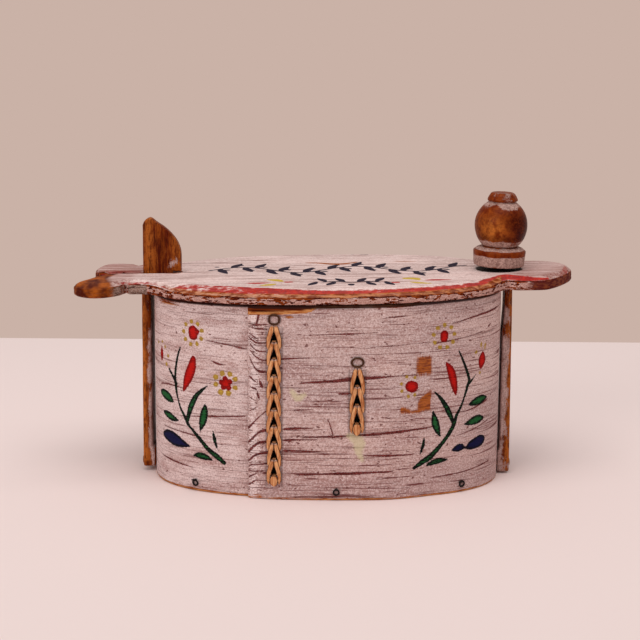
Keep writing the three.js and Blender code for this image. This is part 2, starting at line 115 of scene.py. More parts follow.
class Tone:
    """One output of a shader node, worked with like a number."""

    def __init__(self, finish, socket):
        self.finish = finish
        self.socket = socket

    def math(self, operation, *values):
        return self.finish.add("ShaderNodeMath", {"operation": operation}, *values)

    def __add__(self, other):
        return self.math("ADD", self, other)

    def __sub__(self, other):
        return self.math("SUBTRACT", self, other)

    def __rsub__(self, other):
        return self.math("SUBTRACT", other, self)

    def __mul__(self, other):
        return self.math("MULTIPLY", self, other)

    __radd__ = __add__

    def __abs__(self):
        return self.math("ABSOLUTE", self)

    def between(self, low, high):
        settings = {"interpolation_type": "SMOOTHSTEP"}
        return self.finish.add("ShaderNodeMapRange", settings, self, low, high)


class Finish:
    """A material, the nodes that make it, and the ground colour painted so far."""

    def __init__(self, name, ground):
        self.material = bpy.data.materials.new(name)
        self.material.use_nodes = True
        self.tree = self.material.node_tree
        self.shader = next(n for n in self.tree.nodes if n.type == "BSDF_PRINCIPLED")
        self.ground = ground

    def add(self, kind, settings=None, *values, out=0, sockets=None):
        node = self.tree.nodes.new(kind)
        for key, value in (settings or {}).items():
            setattr(node, key, value)
        for key, value in [*enumerate(values), *(sockets or {}).items()]:
            self.feed(node.inputs[key], value)
        return Tone(self, node.outputs[out])

    def feed(self, socket, value):
        if isinstance(value, Tone):
            self.tree.links.new(value.socket, socket)
        else:
            socket.default_value = value

    def mark(self, name, out="Fac"):
        return self.add("ShaderNodeAttribute", {"attribute_name": name}, out=out)

    def part(self, vector, axis):
        return self.add("ShaderNodeSeparateXYZ", None, vector, out=axis)

    def noise(self, vector, scale, detail=3.0, roughness=0.55, distortion=0.0):
        """Noise of one scale, or stretched by a scale for each axis."""
        if isinstance(scale, tuple):
            vector = self.add("ShaderNodeVectorMath", {"operation": "MULTIPLY"}, vector, scale)
            scale = 1
        sockets = {
            "Vector": vector,
            "Scale": scale,
            "Detail": detail,
            "Roughness": roughness,
            "Distortion": distortion,
        }
        return self.add("ShaderNodeTexNoise", None, sockets=sockets, out="Fac")

    def mix(self, share, first, second):
        sockets = {0: share, 6: first, 7: second}
        return self.add("ShaderNodeMix", {"data_type": "RGBA"}, out=2, sockets=sockets)

    def lay(self, share, *paint):
        """Paint over the ground with a mixed colour, or with red, green and blue."""
        over = colour(*paint) if len(paint) == 3 else paint[0]
        self.ground = self.mix(share, self.ground, over)

    def bumps(self, height, strength, distance):
        sockets = {"Height": height, "Strength": strength, "Distance": distance * MM}
        return self.add("ShaderNodeBump", None, sockets=sockets, out="Normal")

    def done(self, shine, **sockets):
        self.shader.inputs["Specular IOR Level"].default_value = shine
        self.feed(self.shader.inputs["Base Color"], self.ground)
        for name, value in sockets.items():
            self.feed(self.shader.inputs[name.title()], value)
        return self.material


def colour(red, green, blue):
    """A screen colour as the shader's own light values."""
    def light(value):
        share = value / 255
        return share / 12.92 if share <= 0.04045 else ((share + 0.055) / 1.055) ** 2.4
    return (light(red), light(green), light(blue), 1.0)


# Colours
BARE_WOOD = colour(136, 56, 10)
DARK_WOOD = colour(66, 9, 0)
# Black painted as shade: in the slits, under the knob's disc and on the neck below it.
SHADE_BLACK = colour(6, 3, 2)
PINK_PAINT = colour(219, 186, 178)
GREY_PAINT = colour(199, 170, 165)
MAUVE_PAINT = colour(174, 135, 131)
CHALK = colour(236, 212, 208)
OCHRE = colour(170, 88, 28)


def band_finish():
    """Thin pale distemper brushed over streaky bentwood, with painted sprigs."""
    f = Finish("band_paint", GREY_PAINT)
    strip = f.mark("strip", "Vector")
    wide = f.noise(strip, (0.012, 0.035, 0.1), 3)
    patch = f.noise(strip, (0.035, 0.09, 0.1), 4, 0.6)
    streak = f.noise(strip, (0.022, 0.42, 0.2), 6, 0.62, 0.4)
    lines = f.noise(strip, (0.024, 1.3, 0.5), 4, 0.55, 0.6)
    hair = f.noise(strip, (0.16, 1.2, 0.9), 4, 0.65)
    speck = f.noise(strip, 1.0, 3, 0.75)
    grit = f.noise(strip, 1.5, 2, 0.7)
    fleck = f.noise(strip, (0.3, 0.5, 0.4), 1, 0.5)
    up = f.part(strip, 1)
    left = f.part(strip, 0).between(-38, -50)

    f.lay(wide.between(0.38, 0.62), PINK_PAINT)
    f.lay(up.between(60, 4) * 0.45, MAUVE_PAINT)
    f.lay(patch.between(0.48, 0.64) * 0.5, MAUVE_PAINT)
    f.lay(left * patch.between(0.66, 0.44) * 0.7, CHALK)
    f.lay(speck.between(0.5, 0.62) * 0.55, CHALK)
    f.lay(speck.between(0.5, 0.38) * 0.5, 146, 100, 92)
    f.lay(hair.between(0.52, 0.66) * 0.5, 150, 102, 94)
    f.lay(streak.between(0.54, 0.68) * 0.45, 154, 104, 98)
    f.lay(grit.between(0.56, 0.68) * 0.6, 132, 84, 74)
    f.lay((f.mark("chalk") + (speck - 0.5) * 2.2 + (patch - 0.5) * 1.6).between(0.42, 0.62) * 0.8, CHALK)
    fine = lines.between(0.57, 0.63) * patch.between(0.36, 0.52) * (1.0 - left * 0.4)
    f.lay(fine * 0.75, 116, 58, 54)
    worn = (streak + (lines - 0.5) * 0.6).between(0.635, 0.7)
    cleaner = 1.0 - up.between(78, 90) * 0.72
    f.lay(worn * (0.85 - left * 0.6) * cleaner, 104, 40, 38)
    f.lay(fleck.between(0.7, 0.73) * 0.8, 96, 40, 34)

    ragged = (speck - 0.5) * 1.4 + (hair - 0.5) * 0.8
    offset = f.mark("split") + (grit - 0.5) * 1.3 + (lines - 0.5) * 0.8
    split = f.mark("split_pull") + (patch - 0.5) * 1.8 + (speck - 0.5) * 1.2 - abs(offset) + 0.16
    split = split.between(-0.1, 0.2)
    f.lay(split * 0.95, f.mix(speck.between(0.4, 0.6), colour(66, 8, 10), colour(120, 44, 40)))
    f.lay((f.mark("smear") + ragged * 2.6).between(-0.6, 1.4) * 0.72, 210, 194, 156)
    ochre = f.mark("ochre") + ragged * 1.1 + (f.noise(strip, (1.6, 0.12, 1)) - 0.5) * 3
    f.lay(ochre.between(-0.5, 0.9) * 0.96, f.mix(hair.between(0.42, 0.6), OCHRE, colour(122, 52, 22)))

    dry = f.noise(strip, (0.6, 1.1, 1), 4, 0.7) - 0.5
    for name, tear, paint, shade in (
        ("yellow", 2.0, colour(208, 172, 64), colour(168, 130, 56)),
        ("red", 1.3, colour(186, 18, 10), colour(128, 8, 6)),
        ("green", 1.3, colour(28, 88, 44), colour(0, 10, 6)),
        ("navy", 1.3, colour(12, 16, 58), colour(3, 4, 20)),
    ):
        core = hair * 0.5 + speck * 0.5 + (0.9 - f.mark(name)) * 0.13
        share = f.mark(name) + dry * tear + (grit - 0.5) * 0.8 + 0.12
        f.lay(share.between(-0.12, 0.2) * 0.99, f.mix(core.between(0.38, 0.53), paint, shade))

    bare = (f.mark("edge") + ragged * 0.5 + (streak - 0.5) * 1.6).between(0.36, 0.56)
    wood = f.mix(lines.between(0.38, 0.62), BARE_WOOD, DARK_WOOD)
    fresh = f.mix(hair.between(0.42, 0.6), colour(204, 138, 84), colour(160, 84, 38))
    f.lay(bare, f.mix(f.mark("fresh") * f.mark("edge").between(0.3, 0.6), wood, fresh))
    # Painted shade, dark brown: in the corner behind the lap, in a line under the lid's edge, and beside the
    # lacings.
    f.lay((f.mark("painted_shade") + ragged * 0.25).between(0.1, 1.0) * 0.92, 40, 20, 18)
    inner = f.noise(strip, (0.03, 0.7, 0.4), 5, 0.6)
    inside = f.mix(inner.between(0.35, 0.68), colour(198, 146, 100), colour(136, 86, 54))
    f.lay(f.mark("inside").between(0.4, 0.6), inside)
    # The dent under each loop is painted black as the shade inside its slit.
    f.lay(f.mark("pit").between(0.35, 0.6), SHADE_BLACK)
    height = hair * 0.3 + speck * 0.3 + grit * 0.15 - fine * 0.4 - worn * 0.5 - split * 0.9
    return f.done(0.05, roughness=0.66 + speck.between(0.4, 0.7) * 0.2, normal=f.bumps(height, 0.7, 0.6))


def lid_finish():
    """Pale pink paint with a red border on a whittled board, worn at its edges."""
    f = Finish("lid_paint", colour(212, 182, 174))
    plan = f.mark("plan", "Vector")
    wide = f.noise(plan, (0.02, 0.05, 0.1), 3)
    streak = f.noise(plan, (0.02, 0.26, 0.4), 6, 0.6, 0.3)
    hair = f.noise(plan, (0.07, 0.8, 0.9), 4, 0.65)
    speck = f.noise(plan, 0.8, 3, 0.75)
    grit = f.noise(plan, 2.4, 2, 0.6)
    flake = f.noise(plan, (0.2, 0.28, 0.7), 4, 0.65)

    f.lay(wide.between(0.38, 0.62), 230, 198, 190)
    f.lay(speck.between(0.48, 0.64) * 0.6, 240, 216, 210)
    f.lay(speck.between(0.5, 0.36) * 0.4, 176, 140, 132)
    f.lay(streak.between(0.5, 0.66) * 0.6, 164, 128, 120)
    f.lay(hair.between(0.54, 0.66) * 0.6, 146, 106, 98)
    f.lay((streak + (hair - 0.5) * 0.7).between(0.63, 0.72) * 0.75, 106, 62, 54)
    f.lay(grit.between(0.57, 0.67) * 0.45, 142, 104, 96)

    ragged = (speck - 0.5) * 1.2 + (hair - 0.5) * 0.6
    dry = (f.noise(plan, (0.35, 0.9, 1), 4, 0.7) - 0.5) * 1.3
    for name, paint, shade in (
        ("yellow", colour(208, 172, 64), colour(180, 146, 50)),
        ("red", colour(182, 44, 36), colour(150, 30, 30)),
        ("navy", colour(30, 24, 44), colour(8, 8, 36)),
        ("ochre", OCHRE, colour(130, 70, 30)),
    ):
        share = (f.mark(name) + dry * 0.5 + 0.1).between(-0.1, 0.25)
        f.lay(share * 0.985, f.mix(speck.between(0.4, 0.62), paint, shade))

    edge = f.mark("edge")
    uneven = (flake - 0.5) * 3.2 + (streak - 0.5) * 1.6
    border = (edge - f.mark("stripe_start") + uneven * 0.45).between(-0.3, 0.5)
    border = border * (f.mark("stripe") - edge + uneven).between(-0.4, 0.5)
    border = border * (flake * 0.8 + streak * 0.45 + f.mark("stripe_worn") * -0.3).between(0.36, 0.56)
    # Painted shade, darker mauve-brown, on the back prong, the tongue and the front prong's root, next to the
    # posts and the knob.
    dusk_shade = f.mark("dusk_shade") * (0.45 + streak.between(0.36, 0.6) * 0.5)
    f.lay(dusk_shade, f.mix(hair.between(0.46, 0.6), colour(172, 126, 116), colour(128, 66, 56)))
    red = f.mix((speck * 0.5 + flake * 0.5).between(0.42, 0.58), colour(186, 34, 16), colour(146, 16, 16))
    f.lay(border * 0.94, f.mix(hair.between(0.55, 0.68) * 0.25, red, colour(214, 150, 130)))
    apron = (edge + ragged * 0.3).between(-0.3, 0.1) * (3.4 - edge + uneven * 0.6).between(-0.3, 0.6)
    brown = f.mix(flake.between(0.42, 0.56), colour(186, 112, 62), colour(134, 58, 18))
    brown = f.mix(hair.between(0.5, 0.6) * 0.4, brown, DARK_WOOD)
    brown = f.mix(hair.between(0.44, 0.36) * 0.3, brown, colour(226, 180, 160))
    f.lay(apron * (f.mark("apron") + flake * 0.6).between(0.3, 0.7) * 0.94, brown)

    side = edge.between(-0.2, -0.7)
    rough_paint = f.mix(flake.between(0.4, 0.58), colour(182, 134, 122), colour(234, 188, 176))
    f.lay(side * 0.95, f.mix(grit.between(0.52, 0.64) * 0.6, rough_paint, colour(120, 76, 60)))
    layer = f.noise(plan, (0.06, 0.3, 1.1), 4, 0.6)
    arris = (1.0 - abs(edge + 0.1)).between(0.0, 0.7)
    chips = (flake + ragged * 0.18).between(0.51, 0.55) * side
    low = edge.between(-3.0, -4.2)
    worn = arris * 0.62 + chips * 0.95 + low * 0.52 + f.mark("bare") + (flake - 0.5) * 1.3 + ragged * 0.25
    bare = (worn + side * (layer - 0.48) * 2.2).between(0.42, 0.56)
    f.lay(bare, f.mix(hair.between(0.44, 0.56), BARE_WOOD, DARK_WOOD))
    weathered = f.mix(layer.between(0.42, 0.6), colour(92, 64, 50), colour(150, 118, 104))
    weathered = f.mix(grit.between(0.52, 0.64) * 0.7, weathered, colour(206, 180, 172))
    weathered = f.mix(flake.between(0.56, 0.66) * 0.7, weathered, colour(40, 14, 8))
    f.lay((f.mark("grey") + ragged * 0.3).between(0.3, 0.7) * 0.92, weathered)
    cloud = f.noise(plan, (0.13, 0.09, 0.16), 2)
    handled = f.mix(cloud.between(0.36, 0.66), colour(166, 82, 22), colour(76, 18, 0))
    handled = f.mix(hair.between(0.5, 0.64) * 0.35, handled, colour(64, 8, 0))
    ruddy = f.mix(flake.between(0.45, 0.58), colour(82, 12, 8), colour(122, 58, 34))
    handled = f.mix(f.mark("ruddy").between(0.2, 0.8), handled, ruddy)
    soft = f.mark("polished") + (flake - 0.5) * (0.5 + f.mark("ruddy") * 1.4)
    f.lay(soft.between(0.25, 0.75) * 0.97, handled)
    f.lay(f.mark("slot_red").between(0.3, 0.6) * 0.9, 140, 14, 44)
    # Painted shadow under the knob's foot disc, round the neck.
    f.lay(f.mark("knob_shadow").between(0.2, 0.9) * 0.92, SHADE_BLACK)
    under = f.mix(hair.between(0.4, 0.64), colour(150, 92, 52), colour(96, 52, 26))
    f.lay(f.mark("under").between(0.4, 0.6), under)
    height = hair * 0.35 + speck * 0.2 + streak * 0.35 + side * flake - bare * 0.6
    rough = 0.6 + speck.between(0.4, 0.7) * 0.18 - bare * 0.12
    return f.done(0.05, roughness=rough, normal=f.bumps(height, 0.6, 0.6))


def wood_finish(name, light, dark, paint, roughness, stretch, mottle=1.0):
    """Brown wood polished by handling, with paint left in its hollows."""
    f = Finish(name, light)
    grain = f.mark("grain", "Vector")
    across, along = stretch
    long = f.noise(grain, (across, across, along), 5, 0.6, 0.5)
    hair = f.noise(grain, (across * 2.2, across * 2.2, along * 3), 4, 0.65)
    blot = f.noise(grain, (0.16, 0.16, 0.12), 4, 0.6)
    speck = f.noise(grain, 1.0, 3, 0.75)
    f.lay(long.between(0.5 - 0.12 / mottle, 0.5 + 0.12 / mottle), dark)
    # Lighter honey tone: bare wood on the legs and fin, and on the knob a painted highlight on the ball's
    # near left side.
    f.lay(f.mark("honey_and_highlight") * blot.between(0.3, 0.5), 188, 104, 40)
    f.lay(hair.between(0.5, 0.62) * 0.7 * mottle, 50, 2, 0)
    f.lay(hair.between(0.46, 0.36) * 0.4 * mottle, 168, 92, 36)
    f.lay(speck.between(0.52, 0.66) * 0.4 * mottle, dark)
    f.lay(blot.between(0.52, 0.66) * 0.6, dark)
    # Deep red-brown; on the knob this is painted shade on the ball's far side and in the crease above the
    # disc.
    f.lay(f.mark("deep") * (0.6 + speck.between(0.4, 0.6) * 0.4), 50, 2, 0)
    left = f.mark("paint") + (blot - 0.5) * 1.6 + (speck - 0.5) * 0.9 + (hair - 0.5) * 0.5
    left = left.between(0.42, 0.6)
    shaded = tuple(a * b for a, b in zip(paint, (0.4, 0.34, 0.33, 1)))
    f.lay(left * 0.92, f.mix((speck * 0.6 + hair * 0.4).between(0.38, 0.62), paint, shaded))
    # Painted black shade: on the neck under the knob and on the knob's underside.
    f.lay(f.mark("dark").between(0.3, 0.7), SHADE_BLACK)
    height = long * 0.4 + hair * 0.3 + left * 0.5
    return f.done(0.06, roughness=roughness + left * 0.25, normal=f.bumps(height, 0.35, 0.4))


def root_finish():
    """Smooth split root, of a warm golden colour, with painted shade along its edges."""
    f = Finish("split_root", colour(224, 162, 112))
    grain = f.mark("grain", "Vector")
    fibre = f.noise(grain, (1.6, 1.6, 0.12), 4, 0.6)
    blot = f.noise(grain, (0.3, 0.3, 0.16), 3)
    speck = f.noise(grain, 1.6, 2, 0.6)
    f.lay(fibre.between(0.4, 0.62), 176, 102, 56)
    f.lay(blot.between(0.5, 0.66) * 0.5, 150, 78, 38)
    painted = f.mix(speck.between(0.4, 0.62), colour(196, 166, 156), colour(120, 84, 76))
    # Pale paint: the painted-over crown ring, and a painted highlight at the top of each loop.
    f.lay(f.mark("paint").between(0.3, 0.7), painted)
    # Painted shade along each strand's edges, round the crown ring and in the slits.
    f.lay(f.mark("dark").between(0.15, 0.8) * 0.94, 40, 12, 4)
    return f.done(0.12, roughness=0.5 + blot * 0.1, normal=f.bumps(fibre, 0.35, 0.3))


def iron_finish():
    """Old blackened iron with a little rust."""
    f = Finish("old_iron", colour(22, 16, 16))
    grain = f.mark("grain", "Vector")
    rust = f.noise(grain, 1.4, 4, 0.65)
    f.lay(rust.between(0.54, 0.7), 66, 32, 20)
    pitted = f.bumps(f.noise(grain, 3.2, 2, 0.5), 0.4, 0.2)
    return f.done(0.3, metallic=rust.between(0.62, 0.5) * 0.5, roughness=0.55 + rust * 0.3, normal=pitted)


BAND_FINISH = band_finish()
LID_FINISH = lid_finish()
POST_FINISH = wood_finish(
    "post_wood", colour(136, 60, 8), colour(84, 16, 0), PINK_PAINT, 0.42, (0.5, 0.05))
KNOB_FINISH = wood_finish(
    "knob_wood", colour(140, 58, 8), colour(86, 14, 0), colour(202, 164, 152), 0.36, (0.26, 0.2), 0.4)
BOARD_FINISH = wood_finish(
    "bare_wood", colour(172, 118, 70), colour(112, 66, 36), PINK_PAINT, 0.7, (0.5, 0.05))
ROOT_FINISH = root_finish()
IRON_FINISH = iron_finish()


# Meshes

def add_piece(name, points, faces, finish, body, marks, sharp=40):
    """A piece from points in mm; it stands for the node of the same name."""
    mesh = bpy.data.meshes.new(name)
    points = np.asarray(points, dtype=float)
    mesh.from_pydata((points * MM).tolist(), [], faces)
    for label, values in marks.items():
        values = np.asarray(values, dtype=float)
        kind = "FLOAT_VECTOR" if values.ndim == 2 else "FLOAT"
        layer = mesh.attributes.new(label, kind, "POINT")
        layer.data.foreach_set("vector" if values.ndim == 2 else "value", values.ravel())
    mesh.materials.append(finish)
    mesh.validate()
    mesh.shade_smooth()
    mesh.set_sharp_from_angle(angle=math.radians(sharp))
    piece = placed(name + "_look", mesh)
    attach(piece, body)
    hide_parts(name)


class Pile:
    """Points, faces and marks gathered into one mesh."""

    def __init__(self):
        self.points = []
        self.faces = []
        self.marks = {}

    def add(self, points, faces, **marks):
        start = len(self.points)
        self.points.extend(tuple(p) for p in points)
        self.faces.extend([start + i for i in face] for face in faces)
        count = len(points)
        for label in {**self.marks, **marks}:
            held = self.marks.setdefault(label, [0.0] * start)
            given = marks.get(label, 0.0)
            held.extend([given] * count if np.isscalar(given) else list(given))


def moved(points, matrix):
    return [tuple(matrix @ Vector(p)) for p in points]


def grid_faces(rows, columns, wrap_rows=False, wrap_columns=False):
    """Quads over rows x columns of points laid down row by row."""
    faces = []
    for r in range(rows if wrap_rows else rows - 1):
        for c in range(columns if wrap_columns else columns - 1):
            a = r * columns + c
            b = r * columns + (c + 1) % columns
            down = ((r + 1) % rows) * columns
            faces.append((a, b, down + (c + 1) % columns, down + c))
    return faces


def closed_tube(rows, around):
    """Faces round a tube of rings, with both ends closed."""
    faces = grid_faces(rows, around, wrap_columns=True)
    faces.append(list(range(around))[::-1])
    faces.append([(rows - 1) * around + i for i in range(around)])
    return faces


def bell(value, middle, width):
    return np.exp(-((value - middle) / width) ** 2)


def wobble(point, size, amount):
    return noise.noise(Vector(point) / size) * amount


def signed_power(value, power):
    return np.sign(value) * np.abs(value) ** power


def oval_points(oval, turns, outward=0.0):
    """Points of an oval pushed out along its normal."""
    half_x, half_y, power = oval
    x = half_x * signed_power(np.cos(turns), 2 / power)
    y = half_y * signed_power(np.sin(turns), 2 / power)
    out_x = signed_power(x / half_x, power - 1) / half_x
    out_y = signed_power(y / half_y, power - 1) / half_y
    long = np.hypot(out_x, out_y)
    return np.stack([x + out_x / long * outward, y + out_y / long * outward], axis=-1)


def front_turn(oval, x):
    return -math.acos(float(signed_power(x / oval[0], oval[2] / 2)))


def smoothstep(value, low, high):
    share = np.clip((value - low) / (high - low), 0, 1)
    return share * share * (3 - 2 * share)


TURNS = np.linspace(-math.pi, 3 * math.pi, 24001)
RUN = np.concatenate([[0], np.cumsum(np.linalg.norm(np.diff(oval_points(BAND, TURNS), axis=0), axis=1))])
RUN -= np.interp(-math.pi / 2, TURNS, RUN)
ROUND = np.interp(math.pi, TURNS, RUN) - RUN[0]
HIDDEN_TURN = front_turn(BAND, HIDDEN_END)
SETTLE_TURN = front_turn(BAND, HIDDEN_END + LAP_SETTLE)


def wall_run(x):
    """How far along the wall a place at x on the front lies."""
    return float(np.interp(front_turn(BAND, x), TURNS, RUN))


def rim_height(x):
    return BAND_HEIGHT + SLOPE * x


def strip_lift(turns):
    """How far the strip's outer face stands off the oval."""
    return LAYER * (1 - smoothstep(turns, HIDDEN_TURN, SETTLE_TURN))


def wall_seat(x, outward):
    """A frame on the front of the band: X along it, -Y out of it."""
    turn = front_turn(BAND, x)
    seat, skin = oval_points(BAND, turn, outward), oval_points(BAND, turn, outward + 1)
    heading = math.atan2(skin[0] - seat[0], seat[1] - skin[1])
    return Matrix.Translation((seat[0], seat[1], 0)) @ Matrix.Rotation(heading, 4, "Z")


def smooth_path(path, steps):
    """A smooth run of points through the given ones."""
    points = [Vector(p) for p in path]
    run = []
    for i in range(len(points) - 1):
        before = points[max(i - 1, 0)]
        start, end = points[i], points[i + 1]
        after = points[min(i + 2, len(points) - 1)]
        for k in range(steps):
            t = k / steps
            run.append(0.5 * (2 * start + (end - before) * t
                              + (2 * before - 5 * start + 4 * end - after) * t * t
                              + (3 * start - before - 3 * end + after) * t ** 3))
    run.append(points[-1])
    return run


def stretches(places, strokes, steps):
    """For each short stretch of each stroke: the gap to it, its side, and its half width."""
    for stroke in strokes:
        path = smooth_path(stroke, steps) if len(stroke) > 1 else stroke * 2
        for (x0, z0, w0), (x1, z1, w1) in zip(path, path[1:]):
            along = np.array([x1 - x0, z1 - z0])
            length = max(float(along @ along), 1e-6)
            share = np.clip(((places - (x0, z0)) @ along) / length, 0, 1)
            away = places - (x0, z0) - share[:, None] * along
            side = np.sign(along[0] * away[:, 1] - along[1] * away[:, 0])
            yield np.hypot(*away.T), side, w0 + (w1 - w0) * share


def stroke_depth(places, strokes):
    """How deep each place lies inside painted strokes of (x, z, half width)."""
    depth = np.full(len(places), -6.0)
    for gap, _, wide in stretches(places, strokes, 6):
        depth = np.maximum(depth, wide - gap)
    return depth


def painted(places, where, tables):
    """A mark for each colour: how deep a place lies inside its strokes."""
    marks = {}
    for label, strokes in tables.items():
        marks[label] = np.full(len(places), -6.0)
        marks[label][where] = stroke_depth(places[where], strokes)
    return marks


def line_marks(places, lines, reach=1.6):
    """Signed distance to the nearest drawn line, and that line's half width near it."""
    nearest, offset, pull = (np.full(len(places), start) for start in (9.0, 3.0, -1.0))
    for gap, side, wide in stretches(places, lines, 3):
        closer = gap < nearest
        nearest = np.where(closer, gap, nearest)
        offset = np.where(closer, gap * side, offset)
        pull = np.where(closer, np.where(gap < reach, wide, -1.0), pull)
    return offset, pull


# Painted marks

def ring_of_dots(x, z, across, tall, dots, size, start=0.3):
    turns = [start + 2 * math.pi * i / dots for i in range(dots)]
    return [[(x + across * math.cos(t), z + tall * math.sin(t), size)] for t in turns]


# Strokes of the sprigs on the front, in mm along the wall, mm up, and half width
SPRIGS = {
    "green": [
        [(-57.4, 18.4, 1.2), (-62.2, 21.9, 1.5), (-67.1, 25.2, 1.3), (-71.8, 30, 1.1), (-77.5, 35.4, 0.8)],
        [(-77.5, 35.4, 0.6), (-80.3, 38.1, 0.9), (-82.1, 41.3, 0.9), (-85.6, 46.5, 0.65), (-87.6, 51.6, 0.5),
         (-89.0, 57.5, 0.95), (-89.6, 64.3, 0.85), (-88.0, 73.8, 0.7), (-85.4, 81, 0.5)],
        [(-88.6, 59.9, 0.9), (-91.9, 63.9, 0.8), (-95, 67.2, 0.65)],
        [(-80.7, 37.8, 0.7), (-79.6, 43.5, 1.35), (-77.4, 49.5, 1.7), (-73.9, 55.5, 1.3),
         (-67.3, 61.4, 0.35)],
        [(-105, 52.2, 0.6), (-101.5, 52.0, 2.4), (-96, 50.8, 2.7), (-91.6, 49.0, 0.6)],
        [(-101, 41.2, 0.7), (-97, 40.6, 2.0), (-92.5, 39.5, 1.9), (-87.5, 38.8, 0.4)],
        [(-68.7, 50.4, 0.5), (-69.2, 46, 2.2), (-70.4, 40.5, 2.2), (-71.9, 35.4, 0.4)],
        [(-64.0, 35.8, 0.35), (-63.0, 31.0, 0.95), (-61.5, 25.8, 0.3)],
        [(-76.6, 20.2, 0.3), (-72.8, 21.0, 1.7), (-68.5, 20.4, 1.7), (-64.6, 19.2, 0.3)],
        [(48.2, 17.1, 0.8), (53, 20.1, 1.5), (58.5, 23.2, 1.6), (64.9, 29.6, 1.15), (69.3, 35, 1.2),
         (72.2, 40, 1.25), (73.8, 44.8, 0.9), (76.8, 49.8, 0.7), (78.9, 54.9, 0.6), (80.8, 60.6, 0.95),
         (81.9, 64.3, 0.9), (79.9, 70.3, 0.8), (76.9, 76.8, 0.6), (74.4, 81.7, 0.3)],
        [(82, 62, 0.7), (84.4, 64.1, 0.55), (86.9, 66.7, 0.3)],
        [(72, 39.8, 0.5), (69.8, 45.3, 1.4), (66.8, 51, 1.4), (63.4, 56, 0.9), (59.6, 59.8, 0.25)],
        [(82.0, 49.8, 0.3), (86, 50.7, 1.9), (91.5, 51.6, 2.5), (96.5, 52.0, 0.7)],
        [(79.2, 38.8, 0.3), (83.5, 39.8, 1.8), (89, 40.5, 2.6), (93.4, 40.6, 1.0)],
        [(59.2, 48.6, 0.3), (60.2, 44, 1.9), (61.4, 39.5, 2.1), (63.6, 34.2, 0.5)],
        [(54.4, 34.2, 0.3), (53.4, 29.5, 0.95), (51.9, 24.8, 0.3)],
        [(55.6, 17.8, 0.2), (59.5, 19.2, 1.4), (64, 20.0, 1.5), (68.6, 20.1, 0.3)],
    ],
    "red": [
        [(-76.4, 91.6, 2.9), (-76.2, 89.4, 3.0)], [(-73.6, 91.2, 1.5)],
        [(-76.2, 75.8, 1.6), (-77.4, 70.5, 2.8), (-80.1, 64, 2.8), (-83.1, 56.8, 0.7)],
        [(-102.8, 78.4, 0.5), (-102.9, 74.4, 1.8), (-103, 70.4, 0.4)],
        [(-56.6, 66.5, 1.5)], [(-53.8, 64.9, 1.5)], [(-54.6, 61.5, 1.6)],
        [(-57.7, 61.3, 1.4)], [(-58.7, 64.2, 1.5)], [(-56.2, 63.8, 2.9)],
        [(65.1, 91.4, 2.4), (65, 89.6, 2.4)],
        [(66.4, 75.8, 0.3), (69.2, 71.5, 2.1), (71.2, 65.5, 2.4), (72.4, 60.5, 1.7), (73.2, 56.6, 0.3)],
        [(45.6, 64, 3.1), (46.9, 63.5, 3.1)],
        [(92.2, 78.5, 0.6), (91.8, 74, 3.0), (90.6, 69.5, 0.5)],
    ],
    "yellow": [
        *ring_of_dots(-76.5, 90.2, 6.2, 6.5, 9, 1.2),
        [(-58.2, 69.2, 1.5)], [(-53.8, 69.2, 1.5)], [(-62.1, 66.9, 1.5)], [(-50.8, 66.6, 1.5)],
        [(-62.1, 62.8, 1.4)], [(-50.8, 61.6, 1.4)], [(-59.2, 58.6, 1.7)], [(-54.6, 58.4, 1.6)],
        [(-102.1, 81.6, 0.9)], [(-98.9, 79.2, 0.9)], [(-95.9, 74.4, 1.0)], [(-97.7, 69.4, 1.1)],
        [(-107.6, 80.4, 0.9)],
        *ring_of_dots(65, 90.4, 6.4, 6.4, 9, 1.2, 0.15),
        [(40.4, 65.6, 0.95)], [(40.6, 61.6, 0.95)], [(44.3, 58.4, 0.95)], [(48, 59, 1.0)],
        [(43.3, 69.4, 0.9)], [(48, 68.8, 0.95)],
        [(86.7, 79.3, 0.9)], [(90.5, 81.6, 0.5), (90.8, 83.8, 0.7)], [(93.9, 80.5, 0.5), (94.4, 83, 0.7)],
        [(90.2, 67.2, 0.8)],
    ],
    "navy": [
        [(-100.3, 28.2, 1.9), (-96.5, 28.3, 3.4), (-91, 27.4, 3.8), (-85.5, 26.2, 2.6), (-79.4, 25.2, 0.5)],
        [(71.6, 25.0, 0.5), (75.2, 26.0, 2.1), (77.4, 26.2, 1.9)],
        [(79.6, 25.6, 0.6), (81.6, 24.8, 0.3)],
        [(82.2, 25.6, 1.5), (85.5, 26.6, 2.9), (91, 27.6, 3.4), (93.4, 28.0, 2.6)],
    ],
    "ochre": [
        [(49.4, 69.6, 0.3), (56.8, 69.4, 0.4)],
        [(41.2, 50.6, 1.9), (43.6, 50.2, 1.7), (46.4, 49.4, 0.9), (51.2, 49.6, 1.3)],
    ],
    "smear": [
        [(12.5, 37, 2.0), (17.5, 33.6, 3.6), (17.4, 28, 2.4), (19.6, 23, 1.2)],
        [(-19, 62, 1.5), (-16, 58, 2.2), (-12, 60, 1.4)],
    ],
}

# Square brushed patches: left, foot, right and top
OCHRE_PATCHES = [(49.0, 70.2, 58.0, 80.4), (49.6, 49.2, 58.0, 61.0)]

